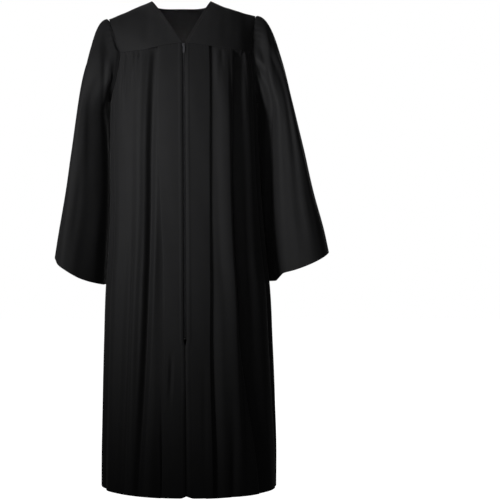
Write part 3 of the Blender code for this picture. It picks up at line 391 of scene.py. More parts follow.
class ClothSizes(PropertyGroup):
    """Sizes and colour of the gown's cloth and sewing."""

    thickness: FloatProperty(
        name="Thickness",
        description="Thickness of one layer of the cloth",
        default=0.0008,
        unit="LENGTH",
    )
    seam_roll: FloatProperty(
        name="Seam roll",
        description="How far the cloth turns in where two pieces are sewn together",
        default=0.0015,
        unit="LENGTH",
    )
    seam_roll_width: FloatProperty(
        name="Seam roll width",
        description="Distance from a seam over which the cloth turns in",
        default=0.0035,
        unit="LENGTH",
    )
    seam_allowance: FloatProperty(
        name="Seam allowance",
        description="How far the cloth runs on past a seam, inside",
        default=0.008,
        unit="LENGTH",
    )
    hem_radius: FloatProperty(
        name="Hem fold radius",
        description="Radius of the fold at the hem and cuffs",
        default=0.0009,
        unit="LENGTH",
    )
    neck_radius: FloatProperty(
        name="Neck fold radius",
        description="Radius of the fold at the neck's edges",
        default=0.0007,
        unit="LENGTH",
    )
    stitch_length: FloatProperty(
        name="Stitch length",
        description="Length of one stitch with the gap after it",
        default=0.0030,
        unit="LENGTH",
    )
    colour: FloatVectorProperty(
        name="Cloth colour",
        description="Colour of the black polyester, before light",
        subtype="COLOR",
        size=3,
        default=linear("#1F1F20")[:3],
    )
    thread_spacing: FloatProperty(
        name="Thread spacing",
        description="Distance between two threads of the weave, as drawn",
        default=0.0012,
        unit="LENGTH",
    )


class ZipSizes(PropertyGroup):
    """Sizes and colour of the front zip."""

    tooth_pitch: FloatProperty(
        name="Tooth pitch",
        description="Distance from one turn of the coil to the next on the same side",
        default=0.0016,
        unit="LENGTH",
    )
    tooth_wall: FloatProperty(
        name="Tooth thickness",
        description="Thickness of one turn along the zip",
        default=0.0008,
        unit="LENGTH",
    )
    metal: FloatVectorProperty(
        name="Slider colour",
        description="Colour of the painted slider and pull, before light",
        subtype="COLOR",
        size=3,
        default=linear("#5A5A5E")[:3],
    )


class StageSizes(PropertyGroup):
    """The studio: camera, floor and light."""

    camera_distance: FloatProperty(
        name="Camera distance",
        description="From the middle of the neck to the camera",
        default=3.0,
        unit="LENGTH",
    )
    camera_height: FloatProperty(
        name="Camera height",
        description="Height of the camera above the neck",
        default=-0.668,
        unit="LENGTH",
    )
    lens: FloatProperty(
        name="Lens",
        description="Focal length in mm on a 36 mm sensor",
        default=80.5,
        unit="CAMERA",
    )
    shift: FloatProperty(
        name="Shift",
        description="Sideways shift of the view, in widths of the frame",
        default=0.135,
        subtype="FACTOR",
    )
    floor_drop: FloatProperty(
        name="Floor below hem",
        description="How far the floor is below the hem",
        default=0.12,
        unit="LENGTH",
    )
    key_power: FloatProperty(
        name="Key light",
        description="Power of the key light",
        default=3.4,
        unit="POWER",
    )
    front_power: FloatProperty(
        name="Front light",
        description="Power of the weak light over the camera",
        default=0.42,
        unit="POWER",
    )
    neck_power: FloatProperty(
        name="Neck light",
        description="Power of the small light into the neck",
        default=0.035,
        unit="POWER",
    )
    back_power: FloatProperty(
        name="Back light",
        description="Power of the light behind the gown",
        default=12.0,
        unit="POWER",
    )
    fill_level: FloatProperty(
        name="Fill",
        description="Brightness of the light from all round",
        default=0.045,
        subtype="FACTOR",
    )


# ---------------------------------------------------------------- curves and rings
def column(rows, names, name):
    """One named column of a table, as an array."""
    return np.array([row[names.index(name)] for row in rows], float)


def smooth(t):
    """0 below 0, 1 above 1, and a soft S between: 3t² - 2t³."""
    t = np.clip(t, 0.0, 1.0)
    return t * t * (3.0 - 2.0 * t)


def through(at, knots, values):
    """A smooth curve through (knots, values): cubic pieces whose slopes are the values' gradient."""
    knots, values = np.asarray(knots, float), np.asarray(values, float)
    if knots[0] > knots[-1]:
        knots, values = knots[::-1], values[::-1]
    at = np.clip(at, knots[0], knots[-1])
    slopes = np.gradient(values, knots)
    i = np.clip(np.searchsorted(knots, at) - 1, 0, len(knots) - 2)
    step = knots[i + 1] - knots[i]
    t = (at - knots[i]) / step
    rise = values[i + 1] - values[i]
    bend_in = step * slopes[i] - rise
    bend_out = rise - step * slopes[i + 1]
    return values[i] + t * rise + t * (1 - t) * ((1 - t) * bend_in + t * bend_out)


def torso_sizes(z):
    """Centre, half width and the two depths of the body's ring at each height."""
    heights = column(TORSO, TORSO_COLUMNS, "z")
    return [
        through(z, heights, column(TORSO, TORSO_COLUMNS, name)) for name in TORSO_COLUMNS[1:]
    ]


def torso(angle, z):
    """A superellipse ring: x is the half width times sin to a power, y the depth times cos to the
    same power, with a front and a back depth. Gives the point and its outward normal."""
    centre, half_width, front, back = torso_sizes(z)
    s, c = np.sin(angle), np.cos(angle)
    depth = np.where(c > 0, front, back)
    power = 2.0 / RING_CORNER
    x = centre + half_width * np.sign(s) * np.abs(s) ** power
    y = -depth * np.sign(c) * np.abs(c) ** power
    nx = np.sign(s) * np.abs(s) ** (2 - power) / half_width
    ny = -np.sign(c) * np.abs(c) ** (2 - power) / depth
    size = np.hypot(nx, ny)
    return np.stack([x, y, z + 0 * x], -1), np.stack([nx / size, ny / size, 0 * nx], -1)


def ring_speed(angle, z):
    """Metres along the ring for each radian, by a central difference."""
    step = 0.02
    ahead, behind = torso(angle + step, z)[0], torso(angle - step, z)[0]
    return np.linalg.norm(ahead - behind, axis=-1) / (2 * step)


def angle_at(x, z):
    """The front's angle where the ring passes a given x: arcsin of x's share to half the power."""
    centre, half_width = torso_sizes(z)[:2]
    share = (x - centre) / half_width
    return np.sign(share) * np.arcsin(np.clip(np.abs(share), 0, 1) ** (RING_CORNER / 2))


def centre_x(z):
    """Where the zip and the closed edges run."""
    return through(z, (-0.12, -0.5, -0.9, -1.295), (0.0031, 0.0050, 0.0068, 0.0100))


def edge_gap(z):
    """Half the distance between the front edges: open at the zip, closed below, open at the vent."""
    closing = smooth((ZIP_BOTTOM_Z - z) / CLOSING)
    opening = smooth((VENT_TOP_Z - z) / 0.10)
    below = CLOSED_GAP + (VENT_GAP - CLOSED_GAP) * opening
    return ZIP_GAP + (below - ZIP_GAP) * closing


def bump(away, width):
    """A soft hump: cosine squared, 1 in the middle and 0 from a width away."""
    return np.cos(0.5 * np.pi * np.clip(away / width, -1, 1)) ** 2


def bell(away, width):
    """A bell curve: e to the minus square of the distance in widths."""
    return np.exp(-((away / width) ** 2))


def way_round(degrees, place):
    """The way round from a place, from -180 to 180 degrees."""
    return (degrees - place + 180.0) % 360.0 - 180.0


def fold_depth(angle, z, from_seams):
    """How far folds and gathers press the cloth in: a hump across each fold, times its depth along
    it, and below a yoke a sine wave that dies away."""
    degrees = np.degrees(angle) % 360.0
    speed = ring_speed(angle, z)
    depth = np.zeros_like(degrees + z)
    for fold in FOLDS:
        away = np.radians(way_round(degrees, through(z, FOLD_Z, fold.angle))) * speed
        width = np.where(away < 0, fold.width_below, fold.width_above) * MM
        depth = depth + through(z, FOLD_Z, fold.depth) * MM * bump(away, width)
    depth = depth * smooth(from_seams / FOLD_RISE)
    for gather in GATHERS:
        place = (degrees - gather.angle_from) % 360.0 / (gather.angle_to - gather.angle_from)
        inside = np.where(place < 1, np.sin(np.pi * np.clip(place, 0, 1)) ** 0.5, 0.0)
        fade = smooth(from_seams / GATHER_RISE) * np.exp(-((from_seams / gather.length) ** 1.5))
        wave = np.sin(2 * np.pi * gather.waves * place)
        depth = depth + gather.depth * MM * wave * inside * fade
    return depth


def along_crease(crease, z):
    """A crease's soft rise from its start to its deepest height, and its fall to its end."""
    start, deepest, end = crease.z
    return smooth((start - z) / (start - deepest)) * smooth((z - end) / (deepest - end))


def crease_depth(angle, z, from_seams):
    """The smaller creases: a hump across, and along it a soft rise and fall between its ends."""
    degrees, speed = np.degrees(angle), ring_speed(angle, z)
    depth = np.zeros_like(degrees + z)
    for crease in CREASES:
        away = np.radians(way_round(degrees, through(z, crease.z, crease.angle))) * speed
        across = bump(away, crease.width * MM)
        depth = depth + crease.depth * MM * along_crease(crease, z) * across
    return depth * smooth(from_seams / GATHER_RISE)


def unevenness(angle, z, waves):
    """The cloth isn't quite even: a sum of low sine waves of the angle and the height together."""
    parts = [
        wave.height * np.sin(wave.turns * angle + 2 * math.pi * z / wave.length + wave.start)
        for wave in waves
    ]
    return sum(parts) * MM


def puckers(along, away, height, reach):
    """Small puckers beside a row of sewing: two sine waves along it that fade away from it, as a
    bell curve."""
    first, second = [2 * math.pi * along / wave for wave in PUCKER_LENGTHS]
    wander = np.sin(first) + 0.7 * np.sin(second + 1.3)
    return height * wander * bell(away, reach)


def roll(distance, depth, width):
    """A rolled edge: the cloth turns in by a depth within a width of the seam, as a quarter round."""
    return depth * (1 - np.sqrt(np.clip(1 - (1 - np.clip(distance / width, 0, 1)) ** 2, 0, 1)))


def body_point(angle, z, from_seams, pushed=0.0):
    """The cloth of the body: the ring's point, moved in along its normal by folds and more."""
    point, normal = torso(angle, z)
    inwards = fold_depth(angle, z, from_seams) + pushed
    return point - normal * inwards[..., None]


# ---------------------------------------------------------------- seams
def front_seam_z(side, x):
    """The height of a front yoke's seam: from the zip outwards it drops by half a cosine wave."""
    away = np.clip(np.abs(x) / YOKE_SEAM_RUN, 0, 1)
    return YOKE_SEAM_Z - YOKE_SEAM_DROP[side] * (1 - np.cos(np.pi * away)) / 2


def armhole_z(share, corner_z):
    """The armhole's height on the body: a quarter ellipse from the yoke's corner to the underarm."""
    return corner_z + (UNDERARM_Z - corner_z) * np.sqrt(1 - (1 - share) ** 2)


def front_corner_z(side):
    """The height at which a front yoke's seam meets the armhole."""
    corner = np.array(math.radians(CORNER_FRONT[side]) * side)
    return float(front_seam_z(side, torso(corner, np.array(CORNER_Z))[0][..., 0]))


def front_top_z(angle, side):
    """The upper edge of a front: its yoke seam, then its armhole."""
    corner = math.radians(CORNER_FRONT[side])
    at = np.abs(angle)
    x = torso(np.minimum(at, corner) * side, np.full_like(at, CORNER_Z))[0][..., 0]
    share = np.clip((at - corner) / (math.pi / 2 - corner), 0, 1)
    seam_z, corner_z = front_seam_z(side, x), front_corner_z(side)
    return np.where(at <= corner, seam_z, armhole_z(share, corner_z))


def back_top_z(angle, side):
    """The upper edge of the back, at angles from 90 to 180 degrees on one side."""
    corner = math.radians(CORNER_BACK[side])
    share = np.clip((corner - np.abs(angle)) / (corner - math.pi / 2), 0, 1)
    return armhole_z(share, BACK_SEAM_Z)


def seam_distance(angle, z, top, corner, corner_z):
    """The nearer of the way straight up to the upper edge and the way across to the armhole."""
    fall = np.clip((corner_z - z) / (corner_z - UNDERARM_Z), 0, 1)
    at_height = corner + (math.pi / 2 - corner) * (1 - np.sqrt(1 - fall**2))
    sideways = (at_height - angle) * ring_speed(angle, z)
    past = np.maximum(UNDERARM_Z - z, 0.0)
    return np.minimum(top - z, np.hypot(sideways, past))


def ridge_ends(side):
    """How far out a shoulder ridge starts, at the neck, and ends, at the sleeve."""
    out = column(RIDGES[side], RIDGE_COLUMNS, "out")
    return out[0], out[-1]


def ridge(side, out):
    """The shoulder ridge through its table, and over the neck a crown: a superellipse."""
    neck, tip = ridge_ends(side)
    heights = column(RIDGES[side], RIDGE_COLUMNS, "z")
    fall = through(out, column(RIDGES[side], RIDGE_COLUMNS, "out"), heights)
    crown = BACK_NECK_RISE * (1 - np.clip(out / neck, 0, 1) ** NECK_CORNER)
    share = np.clip((out - neck) / (tip - neck), 0, 1)
    return np.stack([side * out + 0 * fall, RIDGE_TIP_Y * share, fall + crown], -1)


def over_shoulder(top, bottom, v):
    """From the ridge (v 0) to the yoke's seam (v 1): an arc of an ellipse, forwards, then down."""
    turn = np.asarray(v) * YOKE_TURN
    across = (1 - np.cos(turn)) / (1 - math.cos(YOKE_TURN))
    along = np.sin(turn) / math.sin(YOKE_TURN)
    share = np.stack([across, along, across], -1)
    return top + (bottom - top) * share


def front_yoke(side, u, v, lap=0.0):
    """A front yoke: u from the neck's V edge to the armhole, v from the ridge to the seam, where it
    laps over the front by a little."""
    corner = math.radians(CORNER_FRONT[side])
    first = angle_at(centre_x(YOKE_SEAM_Z) + side * ZIP_GAP * 0.7, YOKE_SEAM_Z)
    angle = first + (corner * side - first) * u
    x = torso(angle, np.full_like(angle, CORNER_Z))[0][..., 0]
    bottom = torso(angle, front_seam_z(side, x) + SLOPED_GAP / 2 - lap)[0]
    neck, tip = ridge_ends(side)
    top = ridge(side, neck + (tip - neck) * u)
    top[..., 1] -= SLOPED_GAP / 2
    return over_shoulder(top, bottom, v)


def back_yoke(side, out, v, lap=0.0):
    """Half of the back yoke: out from the middle, v from the upper edge to the seam, with its lap."""
    neck, tip = ridge_ends(side)
    top = ridge(side, out)
    top[..., 1] += SLOPED_GAP / 2
    corner = math.radians(CORNER_BACK[side])
    angle = side * (math.pi - (math.pi - corner) * out / tip)
    bottom = torso(angle, np.full_like(angle, BACK_SEAM_Z + SLOPED_GAP / 2 - lap))[0]
    square = np.clip(1 - (out / neck) ** NECK_CORNER, 0, 1)
    neck_y = BACK_NECK_DEPTH * square ** (1 / NECK_CORNER)
    reach = (neck_y - top[..., 1]) / (bottom[..., 1] - top[..., 1]) * math.sin(YOKE_TURN)
    start = np.arcsin(np.clip(reach, 0, 1)) / YOKE_TURN
    return over_shoulder(top, bottom, start + (1 - start) * v)


def armhole(side, v, share):
    """The armhole's line: shoulder tip, front, underarm and back, at the yoke's shares v and the
    body's shares below its corner."""
    front_corner = math.radians(CORNER_FRONT[side])
    back_corner = math.radians(CORNER_BACK[side])
    front_angle = front_corner + (math.pi / 2 - front_corner) * share
    back_angle = back_corner - (back_corner - math.pi / 2) * share
    front_down = torso(side * front_angle, armhole_z(share, front_corner_z(side)))[0]
    back_down = torso(side * back_angle, armhole_z(share, BACK_SEAM_Z))[0]
    front = np.concatenate([front_yoke(side, np.ones_like(v), v), front_down])
    back_edge = back_yoke(side, np.full_like(v, ridge_ends(side)[1]), v)
    return front, np.concatenate([back_edge, back_down])


def share_along(points):
    """How far along a line each of its points lies, from 0 to 1."""
    run = np.concatenate([[0.0], np.cumsum(np.linalg.norm(np.diff(points, axis=0), axis=1))])
    return run / run[-1]


# ---------------------------------------------------------------- how finely the cloth is divided
PLEAT_ARC_STEPS = 12
PLEAT_LAP_STEPS = 6
PLEAT_COLUMNS = 2 * PLEAT_ARC_STEPS + 1 + PLEAT_LAP_STEPS
FRONT_INNER_STEPS = 54
FRONT_OUTER_STEPS = 130
ARMHOLE_STEPS = 22
BODY_ROWS = 108
BODY_ROW_SPREAD = 1.45
PUCKER_ROWS = 24
BACK_STEPS = 124
ARC_STEPS = 6
HEM_DEPTH = 0.018
HEM_ROWS = 2  # rows of cloth behind the fold, at the hem, the cuffs and the neck
CUFF_ROWS = 3
NECK_ROWS = 3
HEAD_STEPS = 50
ARM_STEPS = 74
YOKE_EDGE_STEPS = 36
YOKE_ROWS = 46
FRONT_YOKE_COLUMNS = 56
BACK_YOKE_COLUMNS = (41, 38)  # from the middle to the neck's corner, and from there to the sleeve
UNDERARM_STEPS = 26
YOKE_LAP = 0.0012
YOKE_LENGTH = 0.15  # about, down the yoke and across it, to place the columns near its edges
YOKE_WIDTH = 0.13
YOKE_REACH = 0.19
SOFTENED_FROM = (0.04, 0.10)  # below a seam, and the length over which it grows
NEAR_EDGE = np.array([0.0, 0.0003, 0.0007, 0.0012, 0.0020, 0.0032])


def armhole_turns():
    """Shares of the way from a yoke's corner to the side seam: 1 - cos of even steps."""
    return 1 - np.cos(np.linspace(0, math.pi / 2, ARMHOLE_STEPS + 1))


def body_rows():
    """Shares of the way down, closer at the top, with more where the closed seam puckers and in the
    hem."""
    length = YOKE_SEAM_Z - HEM_Z
    even = np.linspace(0, 1, BODY_ROWS + 1) ** BODY_ROW_SPREAD
    even = even[(even < 1 - (HEM_DEPTH + 0.006) / length)]
    puckered = np.linspace(ZIP_BOTTOM_Z + 0.01, VENT_TOP_Z - 0.02, PUCKER_ROWS)
    hem = 1 - np.array([HEM_DEPTH, HEM_DEPTH / 2, 0.0]) / length
    return np.sort(np.concatenate([even, (YOKE_SEAM_Z - puckered) / length, hem]))


def pleat_section(side, z):
    """A knife pleat's turned cloth for each row of z: an arc of turn, a straight lap and the same
    arc back. Gives sideways distances from the visible edge and distances inwards."""
    pleat = PLEATS[side]
    turn = np.radians(through(z, FOLD_Z, pleat.turn))
    radius = through(z, FOLD_Z, pleat.radius) * MM
    lap = through(z, FOLD_Z, pleat.lap) * MM
    steps = np.linspace(0, 1, PLEAT_ARC_STEPS + 1)
    going = turn[:, None] * steps
    first_x = radius[:, None] * np.sin(going)
    first_in = radius[:, None] * (1 - np.cos(going))
    straight = np.linspace(0, 1, PLEAT_LAP_STEPS + 1)[1:]
    mid_x = first_x[:, -1:] + (lap * np.cos(turn))[:, None] * straight
    mid_in = first_in[:, -1:] + (lap * np.sin(turn))[:, None] * straight
    coming = turn[:, None] * (1 - steps[1:])
    second_x = mid_x[:, -1:] + radius[:, None] * (np.sin(turn)[:, None] - np.sin(coming))
    second_in = mid_in[:, -1:] + radius[:, None] * (np.cos(coming) - np.cos(turn)[:, None])
    sideways = np.concatenate([first_x, mid_x, second_x], 1)
    inwards = np.concatenate([first_in, mid_in, second_in], 1)
    edge = np.maximum.accumulate(sideways, 1)[:, PLEAT_ARC_STEPS : PLEAT_ARC_STEPS + 1]
    return sideways - edge, inwards


def grid_normals(grid, closed=False):
    """Unit normals of a grid, down crossed with across, which point outwards on every piece."""
    down = np.gradient(grid, axis=0)
    if closed:
        across = np.roll(grid, -1, 1) - np.roll(grid, 1, 1)
    else:
        across = np.gradient(grid, axis=1)
    normal = np.cross(down, across)
    return normal / np.maximum(np.linalg.norm(normal, axis=-1, keepdims=True), 1e-12)


def turned_edge(grid, radius, rows, closed=False):
    """Turns a grid's last row under: flat to a radius short of the edge, round a half circle, and
    back along the rows before it, two radii further in."""
    outwards = grid_normals(grid, closed)
    down = grid[-1] - grid[-2]
    down /= np.linalg.norm(down, axis=-1, keepdims=True)
    start = grid[-1] - down * radius
    turns = np.linspace(0, math.pi, ARC_STEPS + 1)[:, None, None]
    arc = start + down * radius * np.sin(turns) - outwards[-1] * radius * (1 - np.cos(turns))
    flat = (start - down * radius * 0.7)[None]
    under = flat - outwards[-1:] * 2 * radius
    inner = grid[-2 : -2 - rows : -1] - outwards[-2 : -2 - rows : -1] * 2 * radius
    return np.concatenate([grid[:-1], flat, arc, under, inner])


def from_turned_edge(grid, rows):
    """The outer side of a grid with a turned edge, with its columns running away from that edge."""
    outer = grid[: -(rows + ARC_STEPS + 2)]
    return outer[::-1].transpose(1, 0, 2)


def rolled(grid, edges, depth, width):
    """Turns a grid in along some of its edges, each a row or column of it, by a quarter round."""
    away = np.min([np.linalg.norm(grid - edge, axis=-1) for edge in edges], axis=0)
    return grid - grid_normals(grid) * roll(away, depth, width)[..., None]


def eased_rows(grid, row, reach, passes):
    """Evens a grid about one of its rows: in each pass a point moves halfway towards the middle of
    the points above and below it, and less so further from that row."""
    away = np.abs(np.arange(len(grid)) - row)
    weight = (0.5 * (1 - smooth(away / reach)))[1:-1, None, None]
    for _ in range(passes):
        grid[1:-1] += ((grid[2:] + grid[:-2]) / 2 - grid[1:-1]) * weight
    return grid


# ---------------------------------------------------------------- cloth surfaces
def turned_at_side(metres):
    """Metres along the ring at a side seam, as an angle."""
    return metres / ring_speed(np.array(math.pi / 2), np.array(SIDE_SEAM_Z))


def softened(points, first, last, from_seams, passes=7):
    """Evens a grid across, between two columns: in each pass a point moves towards the middle of its
    neighbours, fully only well below the seams."""
    starts, rise = SOFTENED_FROM
    weight = 0.5 * smooth((from_seams - starts) / rise)[:, first:last, None]
    for _ in range(passes):
        here = points[:, first:last]
        middle = (points[:, first - 1 : last - 1] + points[:, first + 1 : last + 1]) / 2
        points[:, first:last] = here + (middle - here) * weight
    return points


def past_seam(edge, before, angle, z):
    """The cloth past a seam: one more column, further in and leaning back towards its own piece."""
    back = before - edge
    back /= np.maximum(np.linalg.norm(back, axis=-1, keepdims=True), 1e-9)
    return edge - torso(angle + 0 * z, z)[1] * PAST_SEAM_IN + back * PAST_SEAM_BACK


def allowance_height(past_corner, sizes):
    """How far the cloth runs on above its seam: the seam allowance beneath a yoke, and much less at
    the armhole, by the distance from the corner between them."""
    extra = sizes.seam_allowance - ARMHOLE_ALLOWANCE
    return ARMHOLE_ALLOWANCE + extra * smooth(past_corner / CORNER_EASE)


def finer_depth(angle, along, z, from_seams, from_side, sizes):
    """What presses the body's cloth in besides its folds: the sum of its creases, its unevenness,
    the rolled seams and the puckers beside the upper ones."""
    depth = crease_depth(angle, z, from_seams)
    depth = depth + unevenness(angle, z, BODY_WAVES) * smooth(from_seams / FOLD_RISE)
    depth = depth + roll(np.minimum(from_seams, from_side), sizes.seam_roll, sizes.seam_roll_width)
    return depth + puckers(along, from_seams, *YOKE_SEAM_PUCKERS) * smooth(from_seams / 0.001)


def front_columns(side, z):
    """A front's columns, as angles in each row of z: a strip beside the zip, the pleat's turned
    cloth, and the rest up to the side seam. Gives them with how far the pleat presses each point in,
    which fades out beyond it, the angle of the zip's edge and the metres for each radian."""
    corner = math.radians(CORNER_FRONT[side])
    seam = math.pi / 2 - turned_at_side(SEAM_GAP / 2)
    sideways, inwards = pleat_section(side, z)
    edge = np.radians(through(z, FOLD_Z, PLEATS[side].edge))[:, None]
    speed = ring_speed(edge[:, 0] * side, z)[:, None]
    start = side * angle_at(centre_x(z) + side * edge_gap(z), z)[:, None]
    pleat = edge + sideways / speed
    share = np.linspace(0, 1, FRONT_INNER_STEPS + 1)[:-1] ** 1.3
    inner = start + (pleat[:, :1] - start) * share
    clear = np.maximum(edge, pleat[:, -1:]) + PLEAT_EMERGE / speed
    outer = clear + (corner - clear) * np.linspace(0, 1, FRONT_OUTER_STEPS + 1)
    last = corner + (seam - corner) * armhole_turns()[1:-1]
    last = np.concatenate([last, seam - turned_at_side(NEAR_EDGE[::-1])])
    angle = np.concatenate([inner, pleat, outer, last + 0 * start], 1)
    push = inwards[:, -1:] * (1 - smooth((angle - clear) * speed / PLEAT_EASE))
    push[:, :FRONT_INNER_STEPS] = 0.0
    push[:, FRONT_INNER_STEPS : FRONT_INNER_STEPS + PLEAT_COLUMNS] = inwards
    return angle, push, start, speed


def front_surface(side, sizes):
    """A front: rows from beneath the yoke to the hem, columns from the zip through the pleat to the
    side seam, each point on its ring and moved in by folds, creases, pleat and rolled edges."""
    corner = math.radians(CORNER_FRONT[side])
    run = np.concatenate([[0.0, 0.0], body_rows()])[:, None]
    middle_z = YOKE_SEAM_Z + (HEM_Z - YOKE_SEAM_Z) * run[:, 0]
    angle, push, start, speed = front_columns(side, middle_z)
    top = front_top_z(angle, side) - SEAM_GAP / 2
    pressed_in = fold_depth(angle[-1:] * side, np.array(HEM_Z), 1.0) + push[-1:]
    z = top + (HEM_Z - HEM_DIP * pressed_in - top) * run
    from_edge = (angle - start) * speed
    allowance = allowance_height((corner - angle) * speed, sizes)
    inside_v = np.minimum(allowance, from_edge * 1.1 - 0.001)
    z[:2] = top[:2] + ALLOWANCE_RISE * inside_v[:2]
    from_seams = np.maximum(seam_distance(angle, z, top, corner, front_corner_z(side)), 0.0)
    from_side = (math.pi / 2 - angle) * ring_speed(angle, z)
    push = push + finer_depth(angle * side, angle * speed, z, from_seams, from_side, sizes)
    push = push + front_edge(from_edge, z)
    push[:2] += ALLOWANCE_TUCK * (TUCK + TUCK_AT_ZIP * bell(from_edge[:2], 0.012))
    z = z + vent_corner(from_edge, z)
    points = body_point(angle * side, z, from_seams, push)
    first = FRONT_INNER_STEPS + PLEAT_COLUMNS + 2
    points = softened(points, first, first + FRONT_OUTER_STEPS - 2, from_seams)
    beyond = past_seam(points[:, -1], points[:, -3], angle[:, -1] * side, z[:, -1])
    points = np.concatenate([points, beyond[:, None]], 1)
    return points if side > 0 else points[:, ::-1]


def front_edge(from_edge, z):
    """The folded front edge: a low ridge beside it, then it turns in. Below the zip the closed seam
    draws the cloth in at uneven puckers, and below that the open edges lean inwards."""
    height, width = FRONT_EDGE_RIDGE
    ridge_up = -height * bump(from_edge - width, width)
    turn_in = roll(from_edge, *FRONT_EDGE_ROLL)
    above_end, ease = CLOSED_SEAM_STARTS
    closed = smooth((ZIP_BOTTOM_Z + above_end - z) / ease) * smooth((z - VENT_TOP_Z) / ease)
    above_vent, opening = VENT_OPENS
    vent = smooth((VENT_TOP_Z + above_vent - z) / opening)
    depth, reach = FRONT_EDGE_DRAWN
    drawn_in = depth * bell(from_edge, reach)
    puckered = puckers(z * 0.55, from_edge, *CLOSED_SEAM_PUCKERS)
    return ridge_up + turn_in + closed * (puckered + drawn_in * 0.5) + vent * drawn_in


def vent_corner(from_edge, z):
    """The hem's corners at the vent are lifted a little, by a bell curve of the distance."""
    lift, reach = VENT_CORNER_LIFT
    return lift * bell(from_edge, reach) * smooth((HEM_Z + VENT_CORNER_FROM - z) / VENT_CORNER_FROM)


def back_surface(side, sizes):
    """Half of the back, from beneath the yoke to the hem and from the wearer's left to the right,
    with its side seam and the seam down the middle rolled in."""
    corner = math.radians(CORNER_BACK[side])
    first = math.pi / 2 + turned_at_side(SEAM_GAP / 2)
    near = turned_at_side(NEAR_EDGE)
    under_arm = corner - (corner - first) * armhole_turns()[-2::-1]
    across = np.linspace(corner, math.pi, BACK_STEPS + 1)
    angle = np.concatenate([first + near, under_arm[:-1], across[:-2], math.pi - near[::-1]])
    top = back_top_z(angle, side) - SEAM_GAP / 2
    run = np.concatenate([[0.0, 0.0], body_rows()])[:, None]
    z = top + (HEM_Z - top) * run
    speed = ring_speed(angle + 0 * z, z)
    z[:2] = top + ALLOWANCE_RISE * allowance_height((angle - corner) * speed[0], sizes)
    from_seams = np.maximum(seam_distance(angle + 0 * z, z, top, corner, BACK_SEAM_Z), 0.0)
    from_side = (angle - math.pi / 2) * speed
    from_middle = (math.pi - angle) * speed
    place = side * angle + 0 * z
    push = finer_depth(place, angle * speed, z, from_seams, from_side, sizes)
    push = push + roll(from_middle, sizes.seam_roll * 0.6, sizes.seam_roll_width * 0.8)
    push = push + puckers(z, from_middle, *MIDDLE_SEAM_PUCKERS)
    push[:2] += ALLOWANCE_TUCK * TUCK
    points = body_point(place, z, from_seams, push)
    points = softened(points, ARMHOLE_STEPS + 6, len(angle) - 8, from_seams)
    before = past_seam(points[:, 0], points[:, 2], place[:, 0], z[:, 0])
    beyond = past_seam(points[:, -1], points[:, -3], place[:, -1], z[:, -1])
    points = np.concatenate([before[:, None], points, beyond[:, None]], 1)
    return points if side > 0 else points[:, ::-1]


def yoke_shares():
    """Rows of a yoke from its upper edge to its seam: even ones, and closer ones near both."""
    near = NEAR_EDGE / YOKE_LENGTH
    return np.concatenate([near, np.linspace(0.035, 0.965, YOKE_ROWS), 1 - near[::-1]])


def front_yoke_surface(side, sizes):
    """A front yoke with its seams rolled in, low uneven waves, and its V edge turned under."""
    near = NEAR_EDGE[::-1] / YOKE_WIDTH
    even = np.linspace(0.075, 0.965, FRONT_YOKE_COLUMNS)
    u = np.concatenate([[0.0, 0.02, 0.04, 0.06], even, 1 - near])[None, :]
    v = yoke_shares()[:, None]
    grid = front_yoke(side, u + 0 * v, v + 0 * u, YOKE_LAP)
    grid = grid if side > 0 else grid[:, ::-1]
    waves = unevenness(grid[..., 0] / YOKE_REACH, grid[..., 2] - grid[..., 1], YOKE_WAVES)
    grid = grid - grid_normals(grid) * waves[..., None] * smooth(4 * v * (1 - v) * 2)[..., None]
    armhole_edge = grid[:, -1:] if side > 0 else grid[:, :1]
    grid = rolled(grid, (grid[:1], armhole_edge), *YOKE_EDGE_ROLL)
    grid = rolled(grid, (grid[-1:],), *YOKE_SEAM_ROLL)
    inwards_rows = grid.transpose(1, 0, 2)
    inwards_rows = inwards_rows[::-1] if side > 0 else inwards_rows[:, ::-1]
    return turned_edge(inwards_rows, sizes.neck_radius, NECK_ROWS)


def back_yoke_surface(sizes):
    """The back yoke in one piece, from its seam up to the neck's edge, which is turned under, with
    its seams rolled in and low uneven waves."""
    halves = []
    to_corner, to_sleeve = BACK_YOKE_COLUMNS
    v = yoke_shares()[:, None]
    for side in (1, -1):
        neck, tip = ridge_ends(side)
        behind = neck * np.sin(np.linspace(0, math.pi / 2, to_corner))[:-1]
        along_ridge = np.linspace(neck, tip - 0.004, to_sleeve)
        out = np.concatenate([behind, along_ridge, tip - NEAR_EDGE[::-1]])
        halves.append(back_yoke(side, out[None, :] + 0 * v, v + 0 * out, YOKE_LAP))
    grid = np.concatenate([halves[0][:, ::-1], halves[1][:, 1:]], 1)
    waves = unevenness(grid[..., 0] / YOKE_REACH, grid[..., 2] + grid[..., 1], YOKE_WAVES)
    grid = grid - grid_normals(grid) * waves[..., None] * smooth(4 * v * (1 - v) * 2)[..., None]
    grid = rolled(grid, (grid[:, -1:], grid[:, :1]), *YOKE_EDGE_ROLL)
    grid = rolled(grid, (grid[-1:],), *YOKE_SEAM_ROLL)
    upwards = grid[::-1, ::-1]
    upper = np.concatenate([upwards[:-4], upwards[-1:]])
    return turned_edge(upper, sizes.neck_radius, NECK_ROWS)


def sleeve_fold(name, angle, along):
    """How far a sleeve's folds press it in: a hump round each fold's angle, from head to cuff."""
    depth = np.zeros_like(angle + along)
    for fold in SLEEVE_FOLDS:
        if fold.sleeve != name:
            continue
        across = bump(way_round(angle, through(along, SLEEVE_FOLD_PLACES, fold.angle)), fold.width)
        depth = depth + through(along, SLEEVE_FOLD_PLACES, fold.depth) * MM * across
    return depth * smooth(along / SLEEVE_FOLD_RISE)


